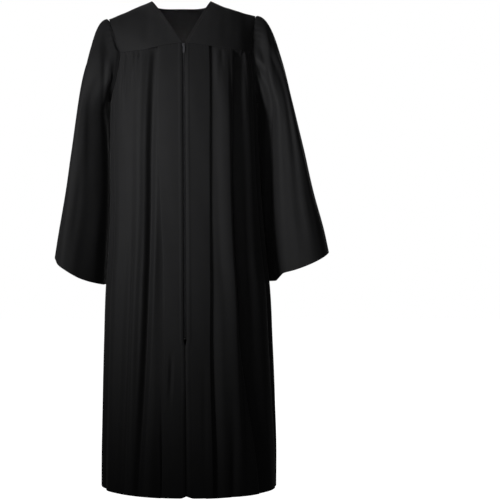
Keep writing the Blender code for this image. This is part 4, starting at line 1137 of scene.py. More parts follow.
def sleeve_ring(spec, z, turn):
    """A level ring of a sleeve below its head: a slanted ellipse, and its outward normal."""
    rows, side = spec["rings"], spec["side"]
    heights = column(rows, SLEEVE_COLUMNS, "z")
    outer, inner, centre_y, half_depth = [
        through(z, heights, column(rows, SLEEVE_COLUMNS, name)) for name in SLEEVE_COLUMNS[1:]
    ]
    slant = spec["slant"]
    across = np.sqrt(((outer - inner) / 2) ** 2 - slant**2)
    x = (outer + inner) / 2 + across * np.cos(turn) + slant * np.sin(turn)
    y = centre_y - half_depth * np.sin(turn)
    out_x = half_depth * np.cos(turn)
    out_y = -(across * np.sin(turn) - slant * np.cos(turn))
    size = np.hypot(out_x, out_y)
    normal = np.stack([side * out_x / size, out_y / size, 0 * x], -1)
    return np.stack([side * x, y, z + 0 * x], -1), normal


def sleeve_creases(name, degrees, z):
    """The sleeves' smaller creases: a hump round the sleeve, and down it a soft rise and fall."""
    depth = np.zeros_like(degrees + z)
    for crease in SLEEVE_CREASES:
        if crease.sleeve != name:
            continue
        across = bump(way_round(degrees, through(z, crease.z, crease.angle)), crease.width)
        depth = depth + crease.depth * MM * along_crease(crease, z) * across
    return depth


def head_gathers(turn, w):
    """The sleeve head's gathers: uneven waves round the top of the armhole, soon fading."""
    uneven = 1.7 * np.sin(3 * turn) + 0.8 * np.sin(7 * turn)
    wave = HEAD_GATHER_DEPTH * np.sin(HEAD_GATHER_WAVES * turn + uneven)
    over_top = smooth((np.cos(turn) - 0.05) / 0.5)
    return wave * over_top * smooth(w / 0.008) * np.exp(-((w / HEAD_GATHER_LENGTH) ** 1.2))


def run_into_arm(spec, turn, loop, ring, down, w):
    """What moves the head sideways, on all but its outer side, so that it reaches its first ring
    at the arm's own slope: a cubic that is level at the armhole and zero at both ends."""
    below = sleeve_ring(spec, ring[:, 2] - SLOPE_STEP, turn)[0]
    fall = down * (loop[:, 2] - ring[:, 2])
    missing = (below - ring) / SLOPE_STEP * fall[:, None] - (ring - loop) * spec["head_out"]
    missing *= smooth(2 * (1 - np.cos(turn)))[:, None] * (1, 1, 0)
    return (w**2 * (w - 1))[..., None] * missing


def sleeve_head(spec, loop, outwards, turn, w):
    """The head of a sleeve: from the armhole out and down to the first ring, by powers of the way
    down, run into the arm's slope, puffed in front and behind, and standing off its seam."""
    ring, ring_normal = sleeve_ring(spec, np.full_like(turn, spec["rings"][0][0]), turn)
    low = (1 - np.cos(turn)) / 2
    down = HEAD_DOWN + (UNDERARM_DOWN - HEAD_DOWN) * low
    outward = w ** spec["head_out"] + 0 * turn
    way = np.stack([outward, outward, w**down], -1)
    head = loop + (ring - loop) * way + run_into_arm(spec, turn, loop, ring, down, w)
    puff = HEAD_PUFF * np.sin(np.pi * w**0.8) ** 2 * np.abs(np.sin(turn)) ** 1.5
    stand_off = HEAD_ROLL[0] + (HEAD_ROLL[1] - HEAD_ROLL[0]) * low
    rolled_off = stand_off * smooth(w / HEAD_ROLL_START) * (1 - w) ** 2
    return head + ring_normal * puff[..., None] + outwards * rolled_off[..., None], ring_normal


def sleeve_surface(name, sizes):
    """A sleeve: its seam allowance inside the armhole, its head, and the arm along its rings to the
    tilted cuff, with folds, creases, gathers and low uneven waves."""
    spec = SLEEVES[name]
    side = spec["side"]
    v = np.linspace(0, 1, YOKE_EDGE_STEPS + 1)
    share = (1 - np.cos(np.linspace(0, math.pi / 2, UNDERARM_STEPS + 1)))[1:]
    front, back = armhole(side, v, share)
    loop = np.concatenate([front, back[-2:0:-1]])
    degrees = np.concatenate([share_along(front), 2 - share_along(back)[-2:0:-1]]) * 180.0
    turn = np.radians(degrees)
    outwards = loop - np.array(INNER_SHOULDER) * (side, 1, 1)
    outwards[:, 2] = np.maximum(outwards[:, 2], 0.0)
    outwards /= np.linalg.norm(outwards, axis=1)[:, None]
    inwards = np.cross(outwards, np.roll(loop, -1, 0) - np.roll(loop, 1, 0)) * side
    inwards /= np.linalg.norm(inwards, axis=1)[:, None]
    loop = loop + inwards * SLEEVE_TUCK
    allowance = loop + inwards * TUCK - outwards * SLEEVE_ALLOWANCE * sizes.seam_allowance
    w = (np.linspace(0, 1, HEAD_STEPS + 1)[:-1] ** 1.6)[:, None]
    head, ring_normal = sleeve_head(spec, loop, outwards, turn, w)
    first_z, cuff_z = spec["rings"][0][0], spec["rings"][-1][0]
    z = np.linspace(first_z, cuff_z, ARM_STEPS + 1)[:, None]
    lower = (first_z - z) / (first_z - cuff_z)
    arm, arm_normal = sleeve_ring(spec, z + 0 * turn, turn + 0 * z)
    cuff_x = arm[-1, :, 0] * side
    outness = (cuff_x - (cuff_x.max() + cuff_x.min()) / 2) / (np.ptp(cuff_x) / 2)
    tilt = spec["cuff_rise"] * outness - spec["cuff_front_drop"] * np.sin(turn)
    tilt = tilt - spec["cuff_tail"] * smooth((CUFF_TAIL_FROM - outness) / CUFF_TAIL_RUN)
    arm[..., 2] += tilt * lower**CUFF_CURVE
    surface = eased_rows(np.concatenate([head, arm]), HEAD_STEPS, reach=12, passes=16)
    normal = np.concatenate([np.broadcast_to(ring_normal, head.shape), arm_normal])
    along = np.clip(surface[..., 2] / cuff_z, 0, 1)
    start = np.concatenate([w * 0.5, np.full_like(z, 0.5) + 0.5 * lower])
    depth = sleeve_fold(name, degrees + 0 * along, start + 0 * along)
    waves = unevenness(turn + 0 * along, surface[..., 2], SLEEVE_WAVES)
    depth = depth + waves * smooth(along / SLEEVE_FOLD_RISE)
    surface = surface - normal * depth[..., None]
    true_normal = grid_normals(surface, True) * -side
    down_head = np.concatenate([w, np.ones_like(z)]) + 0 * turn
    finer = head_gathers(turn, down_head) + sleeve_creases(name, degrees, surface[..., 2])
    surface = surface - true_normal * finer[..., None]
    surface = np.concatenate([allowance, surface])
    return surface[:, ::-1] if side > 0 else surface


def strip_surface(x_from, x_to, z_from, z_to, set_back, rows=120, columns=5):
    """A strip that follows the zip behind the cloth, between two distances from its middle."""
    z = np.linspace(z_from, z_to, rows)[:, None]
    offsets = np.linspace(x_from, x_to, columns)[None, :]
    angle = angle_at(centre_x(z) + offsets, z + 0 * offsets)
    return body_point(angle, z + 0 * offsets, YOKE_SEAM_Z - z + 0 * offsets, set_back + 0 * angle)


# ---------------------------------------------------------------- sewing and teeth
def beside_edge(grid, distance):
    """A line on a grid at a distance from its first column: in each row, between the two columns
    whose way along the row is less and more. Gives the line and the grid's normals on it."""
    normals = grid_normals(grid)
    steps = np.linalg.norm(np.diff(grid, axis=1), axis=-1)
    run = np.concatenate([np.zeros((len(grid), 1)), np.cumsum(steps, 1)], 1)
    after = np.clip((run < distance).sum(1), 1, run.shape[1] - 1)
    rows = np.arange(len(grid))
    before = run[rows, after - 1]
    share = ((distance - before) / (run[rows, after] - before))[:, None]
    line = grid[rows, after - 1] * (1 - share) + grid[rows, after] * share
    return line, normals[rows, after]


def spaced_along(line, normals, pitch):
    """Evenly spaced points of a line, with its direction and the cloth's normal at each."""
    run = np.concatenate([[0.0], np.cumsum(np.linalg.norm(np.diff(line, axis=0), axis=1))])
    at = np.arange(pitch / 2, run[-1], pitch)
    points = np.stack([np.interp(at, run, line[:, k]) for k in range(3)], -1)
    ahead = np.stack([np.interp(at + pitch / 4, run, line[:, k]) for k in range(3)], -1)
    up = np.stack([np.interp(at, run, normals[:, k]) for k in range(3)], -1)
    along = ahead - points
    along /= np.maximum(np.linalg.norm(along, axis=1, keepdims=True), 1e-9)
    up -= along * (up * along).sum(1, keepdims=True)
    up /= np.linalg.norm(up, axis=1, keepdims=True)
    return points, along, up


def copies_at(points, first, second, third, shape, faces):
    """One small shape repeated at many points, each in its own three directions."""
    axes = np.stack([first, second, third], 1)
    vertices = points[:, None, :] + np.einsum("vk,nkj->nvj", shape, axes)
    starts = range(0, len(points) * len(shape), len(shape))
    all_faces = [tuple(c + start for c in face) for start in starts for face in faces]
    return vertices.reshape(-1, 3), all_faces


def joined(parts):
    """One array of points and one list of faces from several of each."""
    vertices, faces, start = [], [], 0
    for part_vertices, part_faces in parts:
        vertices.append(part_vertices)
        faces += [tuple(c + start for c in face) for face in part_faces]
        start += len(part_vertices)
    return np.concatenate(vertices), faces


def bead(length, width, height, sides=4, ends=0.55):
    """A bead along the first direction: two rings of sides and a point at each end."""
    turns = np.arange(sides) * 2 * math.pi / sides
    ring = np.stack([0 * turns, np.cos(turns) * width / 2, np.sin(turns) * height / 2], 1)
    shift = np.array([length / 2 * ends, 0.0, 0.0])
    tips = np.array([[-length / 2, 0.0, 0.0], [length / 2, 0.0, 0.0]])
    shape = np.concatenate([ring - shift, ring + shift, tips])
    faces = []
    for k in range(sides):
        n = (k + 1) % sides
        faces += [(k, n, sides + n, sides + k), (2 * sides, n, k), (2 * sides + 1, sides + k, sides + n)]
    return shape, faces


def tooth_shape(length, wall, height):
    """One turn of the coil: a flattened bar with six sides, narrower at the tape and with a rounded
    head at the middle of the zip."""
    turns = np.arange(6) * math.pi / 3
    ring = np.stack([0 * turns, np.cos(turns) * wall / 2, np.sin(turns) * height / 2], 1)
    stations = ((0.0, 0.72), (0.3, 0.86), (0.78, 1.0), (0.96, 0.62))
    rings = [ring * (1, size, size) + (length * at, 0.0, 0.0) for at, size in stations]
    faces = []
    for level in range(len(rings) - 1):
        a, b = level * 6, level * 6 + 6
        faces += [(a + k, a + (k + 1) % 6, b + (k + 1) % 6, b + k) for k in range(6)]
    faces += [tuple(range(5, -1, -1)), tuple(range(18, 24))]
    return np.concatenate(rings), faces


# ---------------------------------------------------------------- zip parts
def slope_frame(z):
    """A point of the zip on the cloth, the way down along the cloth and the way out."""
    angle = angle_at(centre_x(z), z)
    here = torso(angle, np.array(z))[0]
    lower = torso(angle, np.array(z - SLOPE_STEP))[0]
    down = lower - here
    down[0] = 0.0
    down /= np.linalg.norm(down)
    return here, down, np.array([0.0, down[2], -down[1]])


def on_slope(local, z=SLIDER_Z):
    """Points given as across, out and down, put on the slope of the cloth."""
    here, down, out = slope_frame(z)
    return here + local[..., :1] * (1.0, 0.0, 0.0) + local[..., 1:2] * out + local[..., 2:] * down


def superellipse(turns, power):
    """A rounded rectangle: cos and sin of the turns, each to 2/power with its sign kept."""
    c, s = np.cos(turns), np.sin(turns)
    return np.sign(c) * np.abs(c) ** (2 / power), np.sign(s) * np.abs(s) ** (2 / power)


def plate_surface(width, length, wall, taper=0.0, dome=0.0, power=3.2, steps=40):
    """A rounded plate, centred: outlines nested from the middle of its front over its edge to the
    middle of its back. Across it narrows downwards by the taper, and the front is domed."""
    turns = np.linspace(0, 2 * math.pi, steps, endpoint=False)
    x, y = superellipse(turns, power)
    sizes = np.array([0.001, 0.4, 0.75, 0.90, 0.97, 1.0, 1.0, 0.97, 0.90, 0.6, 0.001])[:, None]
    edge = np.array([1, 1, 1, 1, 0.8, 0.5, -0.5, -0.8, -1, -1, -1])[:, None] * wall / 2
    front = (edge > 0) * dome * (1 - sizes**2)
    down = sizes * y * length / 2
    across = sizes * x * width / 2 * (1 - taper * smooth(down / length + 0.5))
    return np.stack([across, edge + front + 0 * down, down], -1)


def arch_surface(width, wall, half_length, rise, steps=22, sides=16):
    """A bridge: a rounded bar carried along half a superellipse, from one foot to the other."""
    path = np.linspace(0, math.pi, steps)
    c, s = superellipse(path, 3.0)
    line = np.stack([rise * s, -half_length * c], -1)
    along = np.gradient(line, axis=0)
    along /= np.linalg.norm(along, axis=1, keepdims=True)
    out = np.stack([along[:, 1], -along[:, 0]], -1)
    a, b = superellipse(np.linspace(0, 2 * math.pi, sides, endpoint=False), 3.6)
    bar = line[:, None, :] + out[:, None, :] * (b * wall / 2)[None, :, None]
    across = np.broadcast_to(a * width / 2, bar.shape[:2])
    return np.stack([across, bar[..., 0], bar[..., 1]], -1)


def pull_surface(steps=64):
    """The pull: a plate with an eye. A section with rounded edges runs between the eye's outline and
    the outer one, with a low rim round the tab's sunk middle."""
    turns = np.linspace(0, 2 * math.pi, steps, endpoint=False)[:, None]
    x, y = superellipse(turns, 3.4)
    half = (PULL_LENGTH + PULL_ABOVE) / 2
    outer_down = half - PULL_ABOVE + half * y
    narrow = 1 - PULL_NARROWING * (1 - smooth(outer_down / PULL_LENGTH * 1.6))
    outer = np.concatenate([x * PULL_WIDTH / 2 * narrow, outer_down], 1)[:, None, :]
    low, high, wide = PULL_EYE
    eye = np.concatenate([x * wide / 2, (low + high) / 2 + (high - low) / 2 * y], 1)[:, None, :]
    length = np.linalg.norm(outer - eye, axis=-1)
    near = np.array([0.0, 0.00008, 0.00025, 0.0005]) / length
    middle = near[:, -1:] + (1 - 2 * near[:, -1:]) * (0.3, 0.7)
    share = np.concatenate([near, middle, 1 - near[:, ::-1]], 1)
    share = np.concatenate([share, share[:, -2:0:-1]], 1)
    place = eye + (outer - eye) * share[..., None]
    rounded = np.array([0, 0.72, 1, 1, 0.8, 0.8, 1, 1, 0.72, 0])
    height = np.concatenate([rounded, -rounded[-2:0:-1]]) + 0 * share
    flat = np.sign(height) * np.minimum(np.abs(height) * 10, 1)
    sunk = smooth((place[..., 1] - PULL_SUNK[0]) / PULL_SUNK[1])
    height = np.where(np.abs(height) == 0.8, height * sunk + flat * (1 - sunk), height)
    return np.stack([place[..., 0], height * PULL_WALL / 2, place[..., 1]], -1)


# ---------------------------------------------------------------- materials
# Cells of noise in each metre, from the real size of what they draw.
NAP_CELLS = 900.0  # 1.1 mm: tufts of the brushed nap
DYE_CELLS = 22.0  # 45 mm: blotches where the dye took unevenly
PAINT_PEEL_CELLS = 1800.0  # 0.55 mm: the paint's orange peel
PAINT_WEAR_CELLS = 500.0  # 2 mm: spots rubbed by fingers
FILAMENT_CELLS = 900.0  # 1.1 mm: one turn of the coil
# Patches of the thread are painted lighter at this size, as highlights on its turns.
TWIST_HIGHLIGHT_CELLS = 1400.0  # 0.7 mm: one turn of the thread
FLOOR_CELLS = 3.0  # 0.33 m: strokes of the roller
BANDS_A_METRE_APART = 2 * math.pi / 20  # the wave texture's scale for them
TAPE_RIB_SPACING = 0.0006


def add_node(tree, kind, settings=None, inputs=None, links=None):
    """Adds a node with its settings, its sockets' values and its links from other nodes' outputs."""
    node = tree.nodes.new(kind)
    for name, value in (settings or {}).items():
        setattr(node, name, value)
    for name, value in (inputs or {}).items():
        node.inputs[name].default_value = value
    for name, output in (links or {}).items():
        tree.links.new(output, node.inputs[name])
    return node


def new_material(name):
    """An empty node material with its Principled shader."""
    made = bpy.data.materials.new(name)
    made.use_nodes = True
    return made, made.node_tree, made.node_tree.nodes["Principled BSDF"]


def woven_polyester(name, colour, thread_spacing):
    """Black polyester, woven and brushed to a peach skin: dull, with a faint sheen at the turns of
    the folds, a fine uneven grain, and threads drawn three times as coarse as real ones to show."""
    made, tree, shader = new_material(name)
    uv = add_node(tree, "ShaderNodeTexCoord").outputs["UV"]
    bands = BANDS_A_METRE_APART / thread_spacing
    weave = [
        add_node(
            tree,
            "ShaderNodeTexWave",
            {"bands_direction": direction},
            {"Scale": bands, "Distortion": 1.2, "Detail": 1.0, "Detail Scale": 2.0},
            {"Vector": uv},
        ).outputs["Fac"]
        for direction in ("X", "Y")
    ]
    grain = add_node(
        tree, "ShaderNodeTexNoise", {}, {"Scale": NAP_CELLS, "Detail": 3.0}, {"Vector": uv}
    )
    mottle = add_node(
        tree, "ShaderNodeTexNoise", {}, {"Scale": DYE_CELLS, "Detail": 4.0}, {"Vector": uv}
    )
    crossed = add_node(
        tree, "ShaderNodeMath", {"operation": "MULTIPLY"}, {}, {0: weave[0], 1: weave[1]}
    )
    height = add_node(
        tree,
        "ShaderNodeMath",
        {"operation": "ADD"},
        {},
        {0: crossed.outputs[0], 1: grain.outputs["Fac"]},
    )
    raised = add_node(
        tree,
        "ShaderNodeBump",
        {},
        {"Strength": 0.25, "Distance": 0.00025},
        {"Height": height.outputs[0]},
    )
    tint = add_node(
        tree,
        "ShaderNodeMix",
        {"data_type": "RGBA"},
        {"A": tuple(c * 0.86 for c in colour) + (1.0,), "B": tuple(c * 1.16 for c in colour) + (1.0,)},
        {"Factor": mottle.outputs["Fac"]},
    )
    tree.links.new(tint.outputs["Result"], shader.inputs["Base Color"])
    tree.links.new(raised.outputs["Normal"], shader.inputs["Normal"])
    shader.inputs["Roughness"].default_value = 0.72
    shader.inputs["Specular IOR Level"].default_value = 0.22
    shader.inputs["Sheen Weight"].default_value = 0.06
    shader.inputs["Sheen Roughness"].default_value = 0.45
    return made


def painted_zinc(name, colour):
    """Zinc, die cast and painted dark grey: smooth with a soft highlight and faint orange peel."""
    made, tree, shader = new_material(name)
    where = add_node(tree, "ShaderNodeTexCoord").outputs["Object"]
    peel = add_node(
        tree, "ShaderNodeTexNoise", {}, {"Scale": PAINT_PEEL_CELLS, "Detail": 2.0}, {"Vector": where}
    )
    wear = add_node(
        tree, "ShaderNodeTexNoise", {}, {"Scale": PAINT_WEAR_CELLS, "Detail": 4.0}, {"Vector": where}
    )
    tint = add_node(
        tree,
        "ShaderNodeMix",
        {"data_type": "RGBA"},
        {"A": tuple(c * 0.85 for c in colour) + (1.0,), "B": tuple(c * 1.2 for c in colour) + (1.0,)},
        {"Factor": wear.outputs["Fac"]},
    )
    raised = add_node(
        tree,
        "ShaderNodeBump",
        {},
        {"Strength": 0.2, "Distance": 0.00005},
        {"Height": peel.outputs["Fac"]},
    )
    tree.links.new(tint.outputs["Result"], shader.inputs["Base Color"])
    tree.links.new(raised.outputs["Normal"], shader.inputs["Normal"])
    shader.inputs["Metallic"].default_value = 0.35
    shader.inputs["Roughness"].default_value = 0.36
    shader.inputs["Coat Weight"].default_value = 0.25
    return made


def coiled_nylon(name):
    """Nylon monofilament, coiled and set by heat: black with a soft plastic gloss."""
    made, tree, shader = new_material(name)
    where = add_node(tree, "ShaderNodeTexCoord").outputs["Object"]
    uneven = add_node(
        tree, "ShaderNodeTexNoise", {}, {"Scale": FILAMENT_CELLS, "Detail": 2.0}, {"Vector": where}
    )
    tint = add_node(
        tree,
        "ShaderNodeMix",
        {"data_type": "RGBA"},
        {"A": linear("#2A2A2C"), "B": linear("#3A3A3D")},
        {"Factor": uneven.outputs["Fac"]},
    )
    tree.links.new(tint.outputs["Result"], shader.inputs["Base Color"])
    shader.inputs["Roughness"].default_value = 0.42
    shader.inputs["IOR"].default_value = 1.53
    return made


def ribbed_tape(name):
    """Polyester zip tape, woven flat and close: dull black with fine ribs down its length, drawn
    somewhat coarser than real ones to show, with painted shade in the grooves and painted highlights on
    the ribs' tops."""
    made, tree, shader = new_material(name)
    uv = add_node(tree, "ShaderNodeTexCoord").outputs["UV"]
    ribs = add_node(
        tree,
        "ShaderNodeTexWave",
        {"bands_direction": "X"},
        {"Scale": BANDS_A_METRE_APART / TAPE_RIB_SPACING, "Distortion": 0.6},
        {"Vector": uv},
    )
    raised = add_node(
        tree,
        "ShaderNodeBump",
        {},
        {"Strength": 0.4, "Distance": 0.0002},
        {"Height": ribs.outputs["Fac"]},
    )
    # Painted shade and highlight: the tint follows the ribs' height, darker in the grooves and lighter
    # on the tops.
    tint = add_node(
        tree,
        "ShaderNodeMix",
        {"data_type": "RGBA"},
        {"A": linear("#141415"), "B": linear("#1E1E20")},
        {"Factor": ribs.outputs["Fac"]},
    )
    tree.links.new(tint.outputs["Result"], shader.inputs["Base Color"])
    tree.links.new(raised.outputs["Normal"], shader.inputs["Normal"])
    shader.inputs["Roughness"].default_value = 0.8
    shader.inputs["Specular IOR Level"].default_value = 0.25
    return made


def twisted_thread(name):
    """Polyester sewing thread, twisted and waxed: black with a slight gloss, and painted highlights as
    lighter patches on its turns.
    """
    made, tree, shader = new_material(name)
    where = add_node(tree, "ShaderNodeTexCoord").outputs["Object"]
    # Painted highlight: noise makes patches of the thread lighter, standing for light on its turns.
    twist_highlight = add_node(
        tree, "ShaderNodeTexNoise", {}, {"Scale": TWIST_HIGHLIGHT_CELLS, "Detail": 2.0}, {"Vector": where}
    )
    tint = add_node(
        tree,
        "ShaderNodeMix",
        {"data_type": "RGBA"},
        {"A": linear("#202021"), "B": linear("#303032")},
        {"Factor": twist_highlight.outputs["Fac"]},
    )
    tree.links.new(tint.outputs["Result"], shader.inputs["Base Color"])
    shader.inputs["Roughness"].default_value = 0.5
    return made


def finish(name, maker, *settings):
    """A material by its name, made the first time that it is asked for."""
    return bpy.data.materials.get(name) or maker(name, *settings)


def cloth_finish():
    """The gown's cloth, with the colour and the thread spacing that a user may change."""
    sizes = bpy.context.scene.gown_cloth
    return finish("black_woven_polyester", woven_polyester, tuple(sizes.colour), sizes.thread_spacing)


# ---------------------------------------------------------------- objects
def mesh_object(name, vertices, faces, surface):
    """An object from points and faces, smooth, with its material."""
    mesh = bpy.data.meshes.new(name)
    mesh.from_pydata(np.asarray(vertices).reshape(-1, 3).tolist(), [], faces)
    mesh.update(calc_edges=True)
    mesh.shade_smooth()
    mesh.materials.append(surface)
    obj = bpy.data.objects.new(name, mesh)
    bpy.context.scene.collection.objects.link(obj)
    return obj


def surface_object(name, grid, surface, thickness, closed=False):
    """A sheet from a grid of points, with its thickness to both sides of it and a UV map in metres
    along and across the cloth."""
    rows, columns = grid.shape[:2]
    across = columns if closed else columns - 1
    i, j = np.meshgrid(np.arange(rows - 1), np.arange(across), indexing="ij")
    after = (j + 1) % columns
    corners = np.stack([(i, j), (i + 1, j), (i + 1, after), (i, after)], -1)
    faces = (corners[0] * columns + corners[1]).reshape(-1, 4)
    mesh = bpy.data.meshes.new(name)
    mesh.vertices.add(rows * columns)
    mesh.vertices.foreach_set("co", grid.astype(np.float32).ravel())
    mesh.loops.add(faces.size)
    mesh.loops.foreach_set("vertex_index", faces.astype(np.int32).ravel())
    mesh.polygons.add(len(faces))
    mesh.polygons.foreach_set("loop_start", np.arange(0, faces.size, 4, dtype=np.int32))
    mesh.update(calc_edges=True)
    mesh.shade_smooth()
    wide = np.concatenate([grid, grid[:, :1]], 1) if closed else grid
    along = np.linalg.norm(np.diff(wide, axis=1), axis=-1).mean(0)
    down = np.linalg.norm(np.diff(grid, axis=0), axis=-1).mean(1)
    u = np.concatenate([[0.0], np.cumsum(along)])
    v = np.concatenate([[0.0], np.cumsum(down)])
    uv = np.stack([np.stack([u[j], u[j], u[j + 1], u[j + 1]], -1), v[corners[0]]], -1)
    mesh.uv_layers.new(name="cloth").data.foreach_set("uv", uv.astype(np.float32).ravel())
    mesh.materials.append(surface)
    obj = bpy.data.objects.new(name, mesh)
    bpy.context.scene.collection.objects.link(obj)
    thick = obj.modifiers.new("thickness", "SOLIDIFY")
    thick.thickness = thickness
    thick.offset = 0.0
    return obj


def closed_faces(rows, columns, both):
    """Faces of a grid whose columns close, and whose rows close too, or end in flat caps."""
    levels = rows if both else rows - 1
    i, j = np.meshgrid(np.arange(levels), np.arange(columns), indexing="ij")
    n, m = (j + 1) % columns, (i + 1) % rows
    quads = np.stack([i * columns + j, i * columns + n, m * columns + n, m * columns + j], -1)
    faces = quads.reshape(-1, 4).tolist()
    if not both:
        faces.append(list(range(columns - 1, -1, -1)))
        faces.append(list(range((rows - 1) * columns, rows * columns)))
    return faces


def faces_outwards(obj):
    """Turns the faces of an object of closed skins outwards."""
    shape = bmesh.new()
    shape.from_mesh(obj.data)
    bmesh.ops.recalc_face_normals(shape, faces=shape.faces)
    shape.to_mesh(obj.data)
    shape.free()
    return obj


def solid_object(name, grids, surface):
    """One object of closed skins, each a grid of points and whether its rows close too."""
    skins = [(grid.reshape(-1, 3), closed_faces(*grid.shape[:2], both)) for grid, both in grids]
    return faces_outwards(mesh_object(name, *joined(skins), surface))


def finish_piece(obj, nodes, body="gown"):
    """Makes a piece ride with its body and stand for its CAD nodes, which it hides."""
    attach(obj, body)
    if nodes:
        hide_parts(nodes)
    return obj


def cloth_piece(node, grid, sizes, closed=False):
    """A piece of the gown's cloth that stands for a CAD node, and is named for it."""
    obj = surface_object(node + "_cloth", grid, cloth_finish(), sizes.thickness, closed)
    return finish_piece(obj, node)


def hemmed(grid, sizes, rows, closed=False):
    """A grid with its lower edge turned up."""
    return turned_edge(grid, sizes.hem_radius, rows, closed)


def stitches(name, lines, sizes):
    """Rows of stitches as one piece: a bead for each, lying on the cloth."""
    shape, faces = bead(sizes.stitch_length * STITCH_SHARE, THREAD_WIDTH, THREAD_HEIGHT)
    rows = []
    for line, normals, lift in lines:
        points, along, up = spaced_along(line, normals, sizes.stitch_length)
        across = np.cross(up, along)
        rows.append(copies_at(points + up * lift, along, across, up, shape, faces))
    thread = finish("twisted_polyester_thread", twisted_thread)
    obj = faces_outwards(mesh_object(name, *joined(rows), thread))
    return finish_piece(obj, None)


# ---------------------------------------------------------------- operators
class GOWN_OT_yokes(Operator):
    """Builds the two front yokes and the back yoke, with the sewing round the neck"""

    bl_idname = "gown.yokes"
    bl_label = "Yokes"

    def execute(self, context):
        sizes = context.scene.gown_cloth
        lift = sizes.thickness / 2
        lines = []
        for name, side in (("yoke_front_right", -1), ("yoke_front_left", 1)):
            grid = front_yoke_surface(side, sizes)
            obj = cloth_piece(name, grid, sizes)
            outer = from_turned_edge(grid, NECK_ROWS)
            lines.append((*beside_edge(outer, V_STITCHES_IN), lift))
        grid = back_yoke_surface(sizes)
        obj = cloth_piece("yoke_back", grid, sizes)
        line, normals = beside_edge(from_turned_edge(grid, NECK_ROWS), NECK_STITCHES_IN)
        at_neck = np.abs(line[:, 0]) < ridge_ends(1)[0] + NECK_STITCHES_PAST
        line, normals = line[at_neck], normals[at_neck]
        inner = lift + 2 * sizes.neck_radius + INNER_STITCHES_OFF
        lines += [(line, normals, lift), (line - normals * inner, -normals, 0.0)]
        stitches("neck_stitches", lines, sizes)
        return {"FINISHED"}


class GOWN_OT_fronts(Operator):
    """Builds the two fronts with their knife pleats, and the sewing along the zip"""

    bl_idname = "gown.fronts"
    bl_label = "Fronts"

    def execute(self, context):
        sizes = context.scene.gown_cloth
        lines = []
        underlap = vent_underlap(sizes)
        for name, side in (("front_right", -1), ("front_left", 1)):
            grid = front_surface(side, sizes)
            obj = cloth_piece(name, hemmed(grid, sizes, HEM_ROWS), sizes)
            from_zip = grid[2:] if side > 0 else grid[2:, ::-1]
            line, normals = beside_edge(from_zip, ZIP_STITCHES_IN)
            beside_zip = line[:, 2] > ZIP_BOTTOM_Z - ZIP_STITCHES_PAST
            normals = normals * side
            lines.append((line[beside_zip], normals[beside_zip], sizes.thickness / 2))
        stitches("zip_stitches", lines, sizes)
        return {"FINISHED"}


def vent_underlap(sizes):
    """The strip of the closed seam's cloth that lies behind the vent."""
    top, bottom = VENT_TOP_Z + 0.05, HEM_Z + 0.004
    half = UNDERLAP_HALF_WIDTH
    grid = strip_surface(-half, half, top, bottom, UNDERLAP_SET_BACK, rows=40, columns=9)
    obj = surface_object("vent_underlap", grid, cloth_finish(), sizes.thickness)
    return finish_piece(obj, None)


class GOWN_OT_back(Operator):
    """Builds the two halves of the back"""

    bl_idname = "gown.back"
    bl_label = "Back"

    def execute(self, context):
        sizes = context.scene.gown_cloth
        for name, side in (("back_right", -1), ("back_left", 1)):
            grid = hemmed(back_surface(side, sizes), sizes, HEM_ROWS)
            obj = cloth_piece(name, grid, sizes)
        return {"FINISHED"}


class GOWN_OT_sleeves(Operator):
    """Builds the two sleeves"""

    bl_idname = "gown.sleeves"
    bl_label = "Sleeves"

    def execute(self, context):
        sizes = context.scene.gown_cloth
        for name in SLEEVES:
            grid = hemmed(sleeve_surface(name, sizes), sizes, CUFF_ROWS, closed=True)
            obj = cloth_piece(name, grid, sizes, closed=True)
        return {"FINISHED"}


class GOWN_OT_zip(Operator):
    """Builds the zip: tapes, coil, slider, pull and stop"""

    bl_idname = "gown.zip"
    bl_label = "Zip"

    def execute(self, context):
        tape = finish("ribbed_polyester_tape", ribbed_tape)
        for name, side in (("zip_tape_right", -1), ("zip_tape_left", 1)):
            edges = sorted((side * TAPE_INNER, side * TAPE_OUTER))
            ends = (ZIP_TOP_Z + TAPE_ENDS[0], ZIP_BOTTOM_Z + TAPE_ENDS[1])
            grid = strip_surface(*edges, *ends, TAPE_SET_BACK)
            obj = surface_object(name + "_woven", grid, tape, TAPE_WALL)
            finish_piece(obj, name)
        sizes = context.scene.gown_zip
        metal = finish("painted_zinc", painted_zinc, tuple(sizes.metal))
        finish_piece(zip_coil(sizes), "zip_chain")
        finish_piece(zip_slider(metal), "zip_slider")
        pull = on_slope(pull_surface() + (0.0, axis_out(), 0.0))
        pull = solid_object("zip_pull_tab", [(pull, True)], metal)
        finish_piece(pull, "zip_pull", body="zip_pull")
        width, wall, height = STOP_SIZE
        stop = plate_surface(width, height, wall, power=4.5, dome=STOP_DOME)
        stop = on_slope(stop + (0.0, STOP_OUT, 0.0), ZIP_BOTTOM_Z + STOP_UP)
        dark = finish("blackened_zinc", painted_zinc, linear("#161617")[:3])
        stop = solid_object("zip_stop_staple", [(stop, False)], dark)
        finish_piece(stop, "zip_stop")
        return {"FINISHED"}


def axis_out():
    """How far the pull's axis is from the cloth: the middle of the room under the bridge."""
    return SLIDER_FRONT + SLIDER_PLATE + BRIDGE_CLEAR / 2


